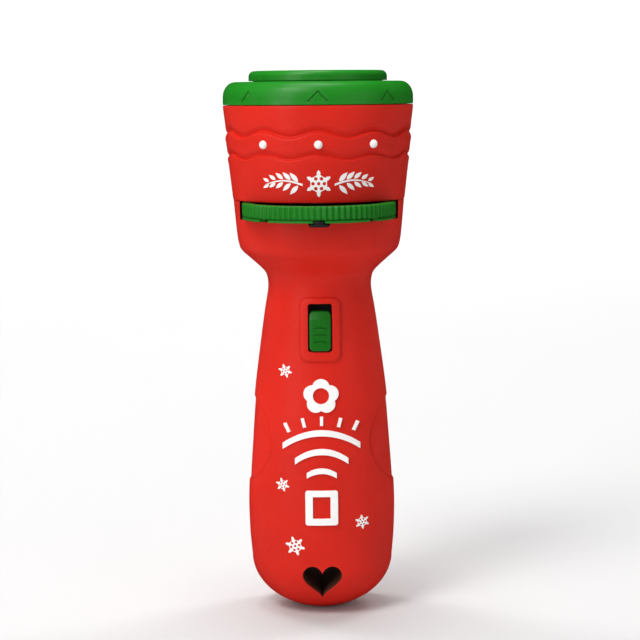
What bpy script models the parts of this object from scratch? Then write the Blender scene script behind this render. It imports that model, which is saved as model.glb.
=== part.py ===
"""Handheld slide-projector torch: a round lens head on a flattened handle, with a picture wheel in the head.

Sizes are in millimetres here and are scaled by MM as each mesh is made. The optical axis is +Z,
the thumb switch faces -Y, +X is to the right of it, and the origin is the middle of the flat tail tip.
"""

import math

import bmesh
import bpy
import numpy as np
from mathutils import Matrix, Vector

MM = 0.001
GAP = 0.3  # between pieces that touch
WALL = 2.0
PAST = 3.0  # how far a cutter runs past the face it opens
FAR = 45.0  # a reach outside the whole object, for cutters and limits
SCREW_MERGE, WELD = 0.00001, 0.000001  # in metres: a turned piece's axis points, and a curve's caps

# Screws: the height of their heads, and the radii of heads and holes
HEAD_HEIGHT = 1.6
CASE_HEAD_RADIUS, SMALL_HEAD_RADIUS, SWITCH_HEAD_RADIUS, BOARD_HEAD_RADIUS = 2.6, 2.2, 1.9, 1.8
PILOT_RADIUS, CLEAR_RADIUS, SWITCH_PILOT_RADIUS, BOARD_HOLE_RADIUS = 1.3, 1.4, 1.2, 1.1
SINK_RADIUS, DOOR_SINK_RADIUS, SINK_SPARE = 3.0, 2.6, 0.2

# Handle and bowl, moulded as a front and a rear shell
TAIL_HEIGHT = 18.5
TAIL_HALF_WIDTH = 24.3
TAIL_FLAT = 0.25  # how much of the tail's round tip is cut flat
CASE_TOP = 141.9
HALF_WIDTHS = (  # height, half-width
    (18.5, 24.3), (27, 25.0), (40, 25.2), (60, 23.95), (76, 22.65), (92.7, 20.5), (105.2, 18.7),
    (110, 17.85), (112.8, 17.6), (115.6, 17.95), (117.6, 18.9), (121.8, 23.3), (123.8, 25.6),
    (125, 26.7), (126.6, 27.35), (130, 27.95), (142.5, 29.1),
)
DEPTH_RATIOS = ((0, 0.835), (40, 0.835), (60, 0.85), (92.7, 0.90), (112.5, 1.0), (143, 1.0))
SEAM_Y = (0.3, 0.6)  # the front shell ends at the first, the rear shell starts at the second
GRIP_CENTRE_Z, GRIP_HALF_HEIGHT, GRIP_HALF_ARC, GRIP_DEPTH = 59.5, 14.8, 19.6, 0.5
CAVITY_BOTTOM = 2.4
NECK_CAVITY_RADIUS = 14.6
BOARD_LEDGE_Z = 115.7
INSET = -0.5  # posts and tunnel walls end this far inside the case's skin

# Picture wheel in the slot between bowl and drum
WHEEL_Y = -13.5
WHEEL_RADIUS = 25.6
WHEEL_BOTTOM, BAND_BOTTOM, WHEEL_TOP = 136.1, 137.0, 141.6
WHEEL_CAVITY_RADIUS = 26.6
SLOT_BOTTOM, SLOT_TOP = 135.6, 142.2
RIBS, RIB_DEPTH, PICTURES = 80, 0.7, 8
NOTCH_WIDTH, NOTCH_DEPTH = 3.9, 3.1
PICTURE_RADIUS, COVER_HOLE_RADIUS = 4.6, 4.8
AXLE_RADIUS = 1.5
SPRING = (3.0, 134.9, 135.75)  # half-width, bottom, top
SPRING_GATE_BACK_Y, SPRING_CLEAR = -22.0, 0.4

# Drum above the slot
DRUM_TOP = 173.6
FLOOR_TOP = 144.2
LIP_RADII, LIP_TOP = (28.8, 30.0), 175.3  # it stands up inside the focus ring's skirt
WAVES = 10
WAVE_LINES = ((163.0, 166.0, 1.0), (155.5, 158.4, 0.8))  # lowest and highest point, swing
WAVED_RADIUS = 29.9  # only points outside this radius swing
COLUMN_AT, COLUMN_RADIUS, COLUMN_FOOT = (13.0, 14.0), 2.8, 133.0
HEAD_SCREW_LENGTH = 8.0
THROUGH_FLOOR, THROUGH_COLUMN, THROUGH_PLATE = (140, 146), (137, 143), (131, 137)

# Focus mechanism
RING_RADIUS, RING_BOTTOM, RING_TOP = 32.2, 173.95, 181.4
SHOULDER = (4.2, 5.2)  # the half-axes of the ring's rounded shoulder
BARREL_RADIUS, FLANGE_RADIUS, BARREL_TOP = 21.9, 23.4, 185.0
GUIDE_RADII = (22.3, 23.9)
SLEEVE_RADII = (24.3, 26.5)
PIN_Z, PIN_TRAVEL, PIN_RADIUS, PINS = 160.0, 4.0, 1.0, 3
PIN_SPAN = (20.2, 26.2)  # from the axis
HELIX_RADIUS, HELIX_SPARE = 1.85, 0.05  # the slots' half-width, and their extra length as a share
FOCUS_TURN = 90.0

# Switch
SWITCH_TRAVEL = 2.5
PAD = (6.95, 88.1, 109.9, 2.7)  # half-width, bottom, top, corner
PAD_RISE, PAD_ROOT, PAD_BACK_Y = 0.8, -1.0, -12.0
WINDOW, WINDOW_BACK_Y = (4.0, 91.7, 107.8, 0.9), -13.0
BUTTON, BUTTON_RISE, BUTTON_BACK_Y = (3.6, 92.05, 105.25, 1.4), 1.5, -14.1
BUTTON_RIBS = (95.1, 97.3, 99.5)
BUTTON_GROOVE = (2.4, 0.3, 1.0)  # half-length, half-width, the height of its floor above the case
SHIELD_HALF_WIDTH, SHIELD_Y, SHIELD_LAP = 6.4, (-13.8, -13.0), 0.8

# Batteries
TRAY_BOTTOM, TRAY_TOP, TRAY_WALL, TRAY_HOLE_Y = 27.2, 79.6, 1.4, (5.5, 14)
CELL_RADIUS, CELL_LENGTH, CELL_PITCH, CELL_Y = 5.25, 44.5, 11.2, 6.5
PLATE = 0.3  # the contacts' thickness
WIRE_RADIUS = 0.55
DOOR, DOOR_FRONT_Y = (16.5, 20.5, 85.2), 8.0  # half-width, bottom, top
DOOR_SCREW_ZS = (24.6, 81.9)
DOOR_POST_RADIUS, DOOR_POST_Y, DOOR_HOLE_Y, DOOR_SCREW_END_Y = 3.1, 12.8, 10.0, 7.0
TRAY_RIB = (8.0, 0.7, 34, 72, -1.2)  # x, half-thickness, bottom, top, the face that the tray rests on

CASE_SCREWS = ((14.0, 13.5), (13.0, 90.0), (20.5, 127.0))  # x and z, on both sides
CASE_SCREW_HEAD_Y, CASE_SCREW_LENGTH, CASE_HOLE_END_Y = 6.9, 11.0, -7.0
FRONT_POST_RADIUS, REAR_POST_RADIUS, SINK_FLOOR_Y = 3.0, 4.0, 5.0
BOARD_SCREW_X, BOARD_SCREW_HEAD_Z, BOARD_SCREW_LENGTH = 10.5, 114.1, 5.2
SWITCH_SCREW_X, SWITCH_SCREW_Z, SWITCH_SCREW_LENGTH = 9.5, 97.0, 6.4
SWITCH_POST_RADIUS, SWITCH_HOLE_Y = 2.4, (-14, -8)
EAR_Y = (-9.9, -8.3)  # the switch body's ears, between their posts and the screw heads
EAR_HOLE_Y = (-13, -7)
THIN_SHAFT, BOARD_SHAFT = 0.9, 0.8

# Heart-shaped lanyard hole through the tail
HEART_WIDTH, HEART_BOTTOM, HEART_TOP, HEART_WALL = 12.9, 6.4, 18.2, 1.4

MATERIALS = {  # colour, roughness, metallic, transmission
    "red_case": ((0.76, 0.028, 0.014), 0.45, 0.0, 0.0),
    "red_drum": ((0.75, 0.028, 0.014), 0.45, 0.0, 0.0),
    "red_door": ((0.74, 0.027, 0.014), 0.47, 0.0, 0.0),
    "green_ring": ((0.03, 0.24, 0.025), 0.38, 0.0, 0.0),
    "green_barrel": ((0.03, 0.24, 0.025), 0.38, 0.0, 0.0),
    "green_wheel": ((0.025, 0.21, 0.022), 0.42, 0.0, 0.0),
    "green_button": ((0.025, 0.21, 0.022), 0.40, 0.0, 0.0),
    "black_plastic": ((0.012, 0.012, 0.013), 0.5, 0.0, 0.0),
    "white_plastic": ((0.78, 0.77, 0.74), 0.5, 0.0, 0.0),
    "clear_lens": ((0.95, 0.97, 0.98), 0.05, 0.0, 1.0),
    "film": ((0.25, 0.32, 0.45), 0.2, 0.0, 0.6),
    "steel": ((0.55, 0.55, 0.56), 0.3, 1.0, 0.0),
    "brass": ((0.70, 0.50, 0.22), 0.35, 1.0, 0.0),
    "board": ((0.02, 0.16, 0.06), 0.5, 0.0, 0.0),
    "led_epoxy": ((0.92, 0.92, 0.80), 0.12, 0.0, 0.4),
    "cell_jacket": ((0.05, 0.09, 0.30), 0.35, 0.0, 0.0),
    "red_wire": ((0.55, 0.02, 0.02), 0.5, 0.0, 0.0),
    "black_wire": ((0.015, 0.015, 0.015), 0.5, 0.0, 0.0),
}


def clear_scene():
    for obj in list(bpy.data.objects):
        bpy.data.objects.remove(obj, do_unlink=True)


def new_collection(name):
    collection = bpy.data.collections.new(name)
    bpy.context.scene.collection.children.link(collection)
    return collection


def make_material(name):
    colour, roughness, metallic, transmission = MATERIALS[name]
    made = bpy.data.materials.new(name)
    made.use_nodes = True
    shader = made.node_tree.nodes["Principled BSDF"]
    shader.inputs["Base Color"].default_value = (*colour, 1.0)
    shader.inputs["Roughness"].default_value = roughness
    shader.inputs["Metallic"].default_value = metallic
    shader.inputs["Transmission Weight"].default_value = transmission
    made.diffuse_color = (*colour, 1.0)
    return made


# ---------------------------------------------------------------- shape tools


def smooth_value(points, at):
    """The curve through the points, with each slope taken from its two neighbours."""
    xs = [x for x, _ in points]
    ys = [y for _, y in points]
    at = min(max(at, xs[0]), xs[-1])
    i = min(max(int(np.searchsorted(xs, at, side="right")) - 1, 0), len(xs) - 2)

    def slope(k):
        low, high = max(k - 1, 0), min(k + 1, len(xs) - 1)
        return (ys[high] - ys[low]) / (xs[high] - xs[low])

    step = xs[i + 1] - xs[i]
    t = (at - xs[i]) / step
    start, end = slope(i) * step, slope(i + 1) * step
    rise = ys[i + 1] - ys[i]
    return ys[i] + t * start + t * t * (3 * rise - 2 * start - end) + t**3 * (start + end - 2 * rise)


def half_width(z):
    if z >= TAIL_HEIGHT:
        return smooth_value(HALF_WIDTHS, z)
    below_shoulder = 1 - (z + TAIL_FLAT) / (TAIL_HEIGHT + TAIL_FLAT)
    return TAIL_HALF_WIDTH * math.sqrt(1 - below_shoulder**2)


def half_depth(z):
    return half_width(z) * smooth_value(DEPTH_RATIOS, z)


def grip_recess(angle, z):
    """Depth of the shallow oval thumb and finger recess on each side."""
    side = math.asin(abs(math.sin(angle)))
    across = side * half_width(z) / GRIP_HALF_ARC
    along = (z - GRIP_CENTRE_Z) / GRIP_HALF_HEIGHT
    return GRIP_DEPTH if across**2 + along**2 < 1 else 0.0


def case_point(angle, z, grow=0.0):
    """A point on the case, or a parallel surface inside or outside it. Angle 0 is +X."""
    out = grow - grip_recess(angle, z)
    return Vector(((half_width(z) + out) * math.cos(angle), (half_depth(z) + out) * math.sin(angle), z))


def cavity_point(angle, z):
    """A point on the handle's inner surface, whose own round tail starts above the outer one."""
    if z >= TAIL_HEIGHT:
        return case_point(angle, z, -WALL)
    below_shoulder = 1 - (z - CAVITY_BOTTOM) / (TAIL_HEIGHT - CAVITY_BOTTOM)
    blunt = 0.02  # keeps the tip from closing to a point
    radius = (TAIL_HALF_WIDTH - WALL) * math.sqrt(max(1 - below_shoulder**2, blunt))
    return Vector((radius * math.cos(angle), radius * DEPTH_RATIOS[0][1] * math.sin(angle), z))


def case_surface_y(x, z):
    """How far the case's rear reaches at this place; the front reaches as far the other way."""
    return half_depth(z) * math.sqrt(max(1 - (x / half_width(z)) ** 2, 0.0))


def place(name, mesh, material, at=(0, 0, 0), turn=(0, 0, 0)):
    obj = bpy.data.objects.new(name, mesh)
    obj.location = Vector(at) * MM
    obj.rotation_euler = turn
    if material:
        mesh.materials.append(made_materials[material])
        PARTS.objects.link(obj)
    else:
        CUTTERS.objects.link(obj)
        obj.hide_render = True
        obj.display_type = "WIRE"
    return obj


def mesh_from(bm, name, smooth_angle=35):
    bmesh.ops.recalc_face_normals(bm, faces=bm.faces)
    bmesh.ops.scale(bm, vec=(MM, MM, MM), verts=bm.verts)
    mesh = bpy.data.meshes.new(name)
    bm.to_mesh(mesh)
    bm.free()
    mesh.shade_smooth()
    mesh.set_sharp_from_angle(angle=math.radians(smooth_angle))
    return mesh


def loft(name, levels, point_at, segments, material=None, at=(0, 0, 0)):
    bm = bmesh.new()
    rings = []
    for z in levels:
        angles = [2 * math.pi * k / segments for k in range(segments)]
        rings.append([bm.verts.new(point_at(angle, z) - Vector(at)) for angle in angles])
    for lower, upper in zip(rings, rings[1:]):
        for k in range(segments):
            after = (k + 1) % segments
            bm.faces.new((lower[k], lower[after], upper[after], upper[k]))
    bm.faces.new(rings[0][::-1])
    bm.faces.new(rings[-1])
    return place(name, mesh_from(bm, name), material, at)


def turned(name, profile, material=None, steps=32, at=(0, 0, 0), turn=(0, 0, 0)):
    """A turned piece. The profile is (radius, height), down its outer side, and is closed off the axis."""
    bm = bmesh.new()
    points = [bm.verts.new((radius * MM, 0, z * MM)) for radius, z in profile]
    for first, second in zip(points, points[1:]):
        bm.edges.new((first, second))
    if profile[0][0] > 0:
        bm.edges.new((points[-1], points[0]))
    mesh = bpy.data.meshes.new(name)
    bm.to_mesh(mesh)
    bm.free()
    obj = place(name, mesh, material, at, turn)
    screw = obj.modifiers.new("turn", "SCREW")
    screw.steps = steps
    screw.render_steps = steps
    screw.use_merge_vertices = True
    screw.merge_threshold = SCREW_MERGE
    screw.use_smooth_shade = True
    return obj


def cylinder(name, radius, low, high, material=None, segments=16, at=(0, 0, 0), turn=(0, 0, 0)):
    bm = bmesh.new()
    bmesh.ops.create_cone(
        bm, cap_ends=True, segments=segments, radius1=radius, radius2=radius, depth=high - low
    )
    bmesh.ops.translate(bm, vec=(0, 0, (low + high) / 2), verts=bm.verts)
    return place(name, mesh_from(bm, name), material, at, turn)


def box(name, low, high, material=None, bevel=0.0):
    centre = (Vector(low) + Vector(high)) / 2
    bm = bmesh.new()
    bmesh.ops.create_cube(bm, size=1)
    bmesh.ops.scale(bm, vec=Vector(high) - Vector(low), verts=bm.verts)
    obj = place(name, mesh_from(bm, name), material, centre)
    if bevel:
        edge = obj.modifiers.new("edges", "BEVEL")
        edge.width = bevel * MM
        edge.segments = 1
    return obj


def turn_about(obj, axis, angle):
    """Carries an object, made as if the axis were the origin's, to its place round an upright axis."""
    turning = Matrix.Rotation(angle, 4, "Z") @ Matrix.Translation(obj.location)
    obj.matrix_world = Matrix.Translation(Vector(axis) * MM) @ turning


def as_mesh(curve_object, material):
    """The curve's own surface as a mesh object with its caps welded, in the curve's place."""
    bpy.context.view_layer.update()
    graph = bpy.context.evaluated_depsgraph_get()
    mesh = bpy.data.meshes.new_from_object(curve_object.evaluated_get(graph))
    mesh.materials.clear()
    matrix = curve_object.matrix_world.copy()
    name = curve_object.name
    bpy.data.objects.remove(curve_object, do_unlink=True)
    bm = bmesh.new()
    bm.from_mesh(mesh)
    bmesh.ops.remove_doubles(bm, verts=bm.verts, dist=WELD)
    bmesh.ops.recalc_face_normals(bm, faces=bm.faces)
    bm.to_mesh(mesh)
    bm.free()
    obj = place(name, mesh, material)
    obj.matrix_world = matrix
    return obj


def flat_outline(name, loops, low, high, material=None, upright=False):
    """Closed outlines filled and given a thickness, along Z or, upright, along Y with the outline in XZ."""
    curve = bpy.data.curves.new(name, "CURVE")
    curve.dimensions = "2D"
    curve.fill_mode = "BOTH"
    curve.extrude = (high - low) / 2 * MM
    for loop in loops:
        spline = curve.splines.new("POLY")
        spline.points.add(len(loop) - 1)
        for point, (x, y) in zip(spline.points, loop):
            point.co = (x * MM, y * MM, 0, 1)
        spline.use_cyclic_u = True
    obj = bpy.data.objects.new(name, curve)
    PARTS.objects.link(obj)
    if upright:
        obj.rotation_euler = (math.pi / 2, 0, 0)
        obj.location = (0, (low + high) / 2 * MM, 0)
    else:
        obj.location = (0, 0, (low + high) / 2 * MM)
    return as_mesh(obj, material)


def tube(name, points, radius, material=None, sides=2):
    curve = bpy.data.curves.new(name, "CURVE")
    curve.dimensions = "3D"
    curve.bevel_depth = radius * MM
    curve.bevel_resolution = sides
    curve.use_fill_caps = True
    spline = curve.splines.new("POLY")
    spline.points.add(len(points) - 1)
    for point, place_at in zip(spline.points, points):
        point.co = (*(Vector(place_at) * MM), 1)
    obj = bpy.data.objects.new(name, curve)
    PARTS.objects.link(obj)
    return as_mesh(obj, material)


def smooth_route(points, count):
    """Evenly many points on the smooth curve through the route's own points."""
    lengths = [0.0]
    for first, second in zip(points, points[1:]):
        lengths.append(lengths[-1] + (Vector(second) - Vector(first)).length)
    route = []
    for k in range(count):
        at = lengths[-1] * k / (count - 1)
        route.append([smooth_value(list(zip(lengths, axis)), at) for axis in zip(*points)])
    return route


def joined(name, pieces):
    """Several cutters as one object, so that one Boolean takes them all. The pieces don't meet."""
    bpy.context.view_layer.update()
    graph = bpy.context.evaluated_depsgraph_get()
    bm = bmesh.new()
    for piece in pieces:
        mesh = bpy.data.meshes.new_from_object(piece.evaluated_get(graph))
        mesh.transform(piece.matrix_world)
        bm.from_mesh(mesh)
        bpy.data.meshes.remove(mesh)
        bpy.data.objects.remove(piece, do_unlink=True)
    mesh = bpy.data.meshes.new(name)
    bm.to_mesh(mesh)
    bm.free()
    return place(name, mesh, None)


def boolean(obj, operation, other):
    step = obj.modifiers.new(other.name, "BOOLEAN")
    step.operation = operation
    step.object = other
    step.solver = "EXACT"


def arc(centre, radius, start, end, steps):
    """Points of an arc from one angle to the other, in degrees."""
    angles = [math.radians(start + (end - start) * k / steps) for k in range(steps + 1)]
    return [(centre[0] + radius * math.cos(a), centre[1] + radius * math.sin(a)) for a in angles]


def rounded_rectangle(half, low, high, radius, steps=2):
    corners = ((half, high, 0), (-half, high, 90), (-half, low, 180), (half, low, 270))
    outline = []
    for x, z, start in corners:
        centre = (x - math.copysign(radius, x), z - radius if z == high else z + radius)
        outline += arc(centre, radius, start, start + 90, steps)
    return outline


def circle(radius, steps, at=(0, 0)):
    return arc(at, radius, 0, 360 * (steps - 1) / steps, steps - 1)


def heart(grow=0.0, steps=18):
    outline = []
    for k in range(steps):
        t = 2 * math.pi * (k + 0.5) / steps
        across = math.sin(t) ** 3
        up = (13 * math.cos(t) - 5 * math.cos(2 * t) - 2 * math.cos(3 * t) - math.cos(4 * t) + 17) / 29
        height = HEART_TOP - HEART_BOTTOM + 2 * grow
        outline.append(((HEART_WIDTH / 2 + grow) * across, HEART_BOTTOM - grow + height * up))
    return outline


def empty(name, at, children):
    """The joint's own place, which carries the pieces that move with it."""
    holder = bpy.data.objects.new(name, None)
    holder.location = Vector(at) * MM
    holder.empty_display_size = 0.01
    PARTS.objects.link(holder)
    bpy.context.view_layer.update()
    for child in children:
        child.parent = holder
        child.matrix_parent_inverse = holder.matrix_world.inverted()
    return holder


# ---------------------------------------------------------------- case


def case_levels():
    tail = [TAIL_HEIGHT * (1 - math.cos(math.pi / 2 * k / 6)) for k in range(6)]
    handle = [18.5, 27, 38]
    grip_low, grip_high = GRIP_CENTRE_Z - GRIP_HALF_HEIGHT, GRIP_CENTRE_Z + GRIP_HALF_HEIGHT
    grip = list(np.linspace(grip_low, grip_high, 5))
    upper = [84, 97, 106, 112.8, 116, 118, 121.8, 124.6, 127, 131, CASE_TOP]
    return tail + handle + grip + upper


def rounded_case(name, grow=0.0, segments=28, levels=None, material=None, at=(0, 0, 0)):
    def surface(angle, z):
        return case_point(angle, z, grow)

    return loft(name, levels or case_levels(), surface, segments, material, at)


def case_hollows():
    cavity_levels = [3.2, 5.0, 8.0, 12.5, 18.5, 28, 44, 60, 76, 92, 104, 112.6]
    handle = loft("handle_cavity", cavity_levels, cavity_point, 20)
    bowl = turned(
        "bowl_cavity",
        (
            (0, CASE_TOP + PAST), (WHEEL_CAVITY_RADIUS, CASE_TOP + PAST), (WHEEL_CAVITY_RADIUS, 135.7),
            (25.0, 135.7), (25.0, 134.4), (26.3, 134.4), (26.3, 131.7), (24.4, 131.7), (24.4, 125.6),
            (16.0, 118.2), (16.0, BOARD_LEDGE_Z), (NECK_CAVITY_RADIUS, BOARD_LEDGE_Z),
            (NECK_CAVITY_RADIUS, 111), (0, 111),
        ),
        steps=24,
    )
    wheel = cylinder(
        "wheel_slot", WHEEL_CAVITY_RADIUS, SLOT_BOTTOM, CASE_TOP + PAST, segments=36, at=(0, WHEEL_Y, 0)
    )
    return handle, bowl, wheel


def along_y(name, radius, x, z, low, high, segments=8):
    return cylinder(name, radius, -high, -low, segments=segments, at=(x, 0, z), turn=(math.pi / 2, 0, 0))


def screw_places():
    return [(side * x, z) for x, z in CASE_SCREWS for side in (-1, 1)]


def front_bosses():
    """Posts from the front wall to the seam, and the ribs that the battery tray rests on."""
    pieces = []
    for x, z in screw_places():
        start = -case_surface_y(abs(x), z) - PAST
        pieces.append(along_y("post", FRONT_POST_RADIUS, x, z, start, PAST))
    for x in (-SWITCH_SCREW_X, SWITCH_SCREW_X):
        start = -half_depth(SWITCH_SCREW_Z)
        pieces.append(along_y("post", SWITCH_POST_RADIUS, x, SWITCH_SCREW_Z, start, EAR_Y[0] - GAP))
    rib_x, half, low, high, face_y = TRAY_RIB
    for x in (-rib_x, rib_x):
        pieces.append(box("rib", (x - half, -FAR, low), (x + half, face_y, high)))
    bosses = joined("front_bosses", pieces)
    boolean(bosses, "INTERSECT", rounded_case("front_boss_limit", INSET))
    return bosses


def rear_bosses():
    pieces = []
    for x, z in screw_places():
        pieces.append(along_y("post", REAR_POST_RADIUS, x, z, -PAST, case_surface_y(abs(x), z) + PAST))
    bosses = joined("rear_bosses", pieces)
    boolean(bosses, "INTERSECT", rounded_case("rear_boss_limit", INSET))
    return bosses


def heart_tunnel():
    """The wall round the lanyard hole, through both shells."""
    wall = flat_outline("heart_wall", [heart(HEART_WALL)], -FAR, FAR, upright=True)
    boolean(wall, "INTERSECT", rounded_case("heart_limit", INSET))
    return wall


def make_shells(hollows, wall):
    handle, bowl, wheel = hollows
    hole = flat_outline("heart_hole", [heart()], -FAR, FAR, upright=True)

    front = rounded_case("front_shell", material="red_case")
    boolean(front, "DIFFERENCE", handle)
    boolean(front, "DIFFERENCE", bowl)
    pad = flat_outline("switch_pad", [rounded_rectangle(*PAD)], -FAR, PAD_BACK_Y, upright=True)
    pad_levels = [84, 97, 106, 112.8]
    boolean(pad, "INTERSECT", rounded_case("pad_skin", PAD_RISE, levels=pad_levels))
    boolean(pad, "DIFFERENCE", rounded_case("pad_inside", PAD_ROOT, levels=pad_levels))
    boolean(front, "UNION", pad)
    boolean(front, "UNION", front_bosses())
    boolean(front, "UNION", wall)
    rear_half = box("rear_half", (-FAR, SEAM_Y[0], -PAST), (FAR, FAR, CASE_TOP + PAST))
    boolean(front, "DIFFERENCE", rear_half)
    boolean(front, "DIFFERENCE", wheel)
    holes = [along_y("hole", PILOT_RADIUS, x, z, CASE_HOLE_END_Y, PAST) for x, z in screw_places()]
    for x in (-SWITCH_SCREW_X, SWITCH_SCREW_X):
        holes.append(along_y("hole", SWITCH_PILOT_RADIUS, x, SWITCH_SCREW_Z, *SWITCH_HOLE_Y))
    holes.append(
        flat_outline("window", [rounded_rectangle(*WINDOW)], -FAR, WINDOW_BACK_Y, upright=True)
    )
    half, low, _ = SPRING
    half, low = half + SPRING_CLEAR, low - SPRING_CLEAR
    holes.append(
        box("spring_gate", (-half, -FAR, low), (half, SPRING_GATE_BACK_Y, CASE_TOP + PAST))
    )
    boolean(front, "DIFFERENCE", joined("front_holes", holes))
    boolean(front, "DIFFERENCE", hole)

    rear = rounded_case("rear_shell", material="red_case")
    boolean(rear, "DIFFERENCE", handle)
    boolean(rear, "DIFFERENCE", bowl)
    boolean(rear, "UNION", rear_bosses())
    boolean(rear, "UNION", wall)
    front_half = box("front_half", (-FAR, -FAR, -PAST), (FAR, SEAM_Y[1], CASE_TOP + PAST))
    boolean(rear, "DIFFERENCE", front_half)
    boolean(rear, "DIFFERENCE", wheel)
    half, low, high = DOOR
    opening = box("door_opening", (-half - GAP, DOOR_FRONT_Y, low - GAP), (half + GAP, FAR, high + GAP))
    boolean(rear, "DIFFERENCE", opening)
    holes = []
    for x, z in screw_places():
        holes.append(along_y("hole", CLEAR_RADIUS, x, z, -PAST, SINK_FLOOR_Y + PAST))
        holes.append(along_y("sink", SINK_RADIUS, x, z, SINK_FLOOR_Y, FAR))
    boolean(rear, "DIFFERENCE", joined_overlapping("rear_holes", holes))
    boolean(rear, "DIFFERENCE", hole)


def joined_overlapping(name, pieces):
    """Cutters that run into each other in pairs: each hole and its counterbore become one body."""
    for hole, sink in zip(pieces[::2], pieces[1::2]):
        boolean(hole, "UNION", sink)
    sinks = pieces[1::2]
    made = joined(name, pieces[::2])
    for sink in sinks:
        bpy.data.objects.remove(sink, do_unlink=True)
    return made


def make_door(hollows):
    """The battery door. Its two screws stay in it, and it lifts straight off the rear."""
    half, low, high = DOOR
    middle = (0, half_depth((low + high) / 2), (low + high) / 2)
    door = rounded_case("battery_door", material="red_door", at=middle)
    boolean(door, "DIFFERENCE", hollows[0])
    boolean(door, "INTERSECT", box("door_limit", (-half, DOOR_FRONT_Y, low), (half, FAR, high)))
    screws = []
    for number, z in enumerate(DOOR_SCREW_ZS, 1):
        face = case_surface_y(0, z) - HEAD_HEIGHT
        post = along_y(f"door_post_{number}", DOOR_POST_RADIUS, 0, z, DOOR_POST_Y, FAR)
        boolean(post, "INTERSECT", rounded_case(f"door_post_limit_{number}", INSET))
        boolean(door, "UNION", post)
        holes = [
            along_y("hole", CLEAR_RADIUS, 0, z, DOOR_HOLE_Y, face),
            along_y("sink", DOOR_SINK_RADIUS, 0, z, face - HEAD_HEIGHT - SINK_SPARE, FAR),
        ]
        boolean(door, "DIFFERENCE", joined_overlapping(f"door_holes_{number}", holes))
        length = face - DOOR_SCREW_END_Y
        screws.append(
            make_screw(f"battery_door_screw_{number}", (0, face, z), length, SMALL_HEAD_RADIUS)
        )
    empty("battery_door_slide", middle, [door, *screws])


def make_screw(name, head, length, head_radius, turn=(-math.pi / 2, 0, 0), shaft=1.0):
    """A pan-head screw. Its head's outer face is at head, and its shaft points away from it."""
    profile = (
        (0, -0.5), (0.5, -0.5), (0.7, 0), (head_radius - 0.5, 0), (head_radius, -0.6),
        (head_radius, -HEAD_HEIGHT), (shaft, -HEAD_HEIGHT), (shaft, 0.9 - length), (0, -length),
    )
    return turned(name, profile, "steel", 8, head, turn)


# ---------------------------------------------------------------- head


def waved(obj):
    """Pushes the two groove lines of the turned drum up and down, in ten waves round it."""
    bpy.context.view_layer.update()
    graph = bpy.context.evaluated_depsgraph_get()
    mesh = bpy.data.meshes.new_from_object(obj.evaluated_get(graph))
    for low, high, swing in WAVE_LINES:
        for vertex in mesh.vertices:
            x, y, z = vertex.co / MM
            if low < z < high and math.hypot(x, y) > WAVED_RADIUS:
                vertex.co.z += swing * math.cos(WAVES * math.atan2(x, -y)) * MM
    obj.modifiers.clear()
    obj.data = mesh


def make_drum():
    drum = turned(
        "head_drum",
        (
            (31.7, DRUM_TOP), (32.2, 173.1), (31.2, 165.6), (30.4, 164.8), (30.4, 164.3), (31.4, 163.8),
            (30.75, 157.9), (30.0, 157.3), (30.0, 156.8), (30.7, 156.2), (29.2, 142.6), (28.8, SLOT_TOP),
            (9.0, SLOT_TOP), (9.0, FLOOR_TOP), (27.0, FLOOR_TOP), (28.4, 158.0), (29.5, 166.0),
            (29.5, 170.1), (LIP_RADII[0], 170.1), (LIP_RADII[0], LIP_TOP), (LIP_RADII[1], LIP_TOP),
            (LIP_RADII[1], DRUM_TOP),
        ),
        "red_drum",
        40,
    )
    waved(drum)
    holes = column_cylinders("hole", PILOT_RADIUS, *THROUGH_FLOOR)
    holes.append(axle_cylinder("hole", AXLE_RADIUS + GAP, *THROUGH_FLOOR))
    boolean(drum, "DIFFERENCE", joined("drum_holes", holes))
    for number, x in enumerate((-COLUMN_AT[0], COLUMN_AT[0]), 1):
        head = (x, COLUMN_AT[1], FLOOR_TOP + GAP + HEAD_HEIGHT)
        make_screw(f"head_screw_{number}", head, HEAD_SCREW_LENGTH, SMALL_HEAD_RADIUS, (0, 0, 0))


def column_cylinders(name, radius, low, high):
    """Two upright cylinders, one on each column that joins the drum to the gate plate."""
    x, y = COLUMN_AT
    return [cylinder(name, radius, low, high, segments=10, at=(side * x, y, 0)) for side in (-1, 1)]


def axle_cylinder(name, radius, low, high):
    return cylinder(name, radius, low, high, segments=12, at=(0, WHEEL_Y, 0))


def make_gate_plate():
    plate = turned(
        "gate_plate",
        ((26.0, 134.1), (26.0, 132.0), (5.4, 132.0), (5.4, 134.1)),
        "black_plastic",
        24,
    )
    columns = column_cylinders("column", COLUMN_RADIUS, COLUMN_FOOT, SLOT_TOP - GAP)
    columns.append(axle_cylinder("boss", 3.4, COLUMN_FOOT, 135.4))
    columns.append(box("spring_foot", (-2.7, -24.4, COLUMN_FOOT), (2.7, -21.6, 134.6)))
    boolean(plate, "UNION", joined("columns", columns))
    holes = column_cylinders("hole", PILOT_RADIUS, *THROUGH_COLUMN)
    holes.append(axle_cylinder("hole", AXLE_RADIUS + GAP, *THROUGH_PLATE))
    boolean(plate, "DIFFERENCE", joined("plate_holes", holes))


def make_detent_spring():
    """A leaf that leaves the head under the wheel and ends in a nose, which drops into the rim's notches."""
    tip, root = WHEEL_Y - WHEEL_RADIUS + 0.1, -20.6
    half, low, high = SPRING
    spring = box("detent_spring", (-half, tip, low), (half, root, high), "black_plastic")
    nose_half = NOTCH_WIDTH / 2 - GAP
    nose = box("detent_nose", (-nose_half, tip + 0.02, 135.4), (nose_half, tip + 1.1, 136.75))
    boolean(spring, "UNION", nose)


def ribbed_circle(radius, ribs, depth):
    outline = []
    for k in range(2 * ribs):
        angle = math.pi * k / ribs
        at = radius - depth * (k % 2)
        outline.append((at * math.cos(angle), at * math.sin(angle)))
    return outline


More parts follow.
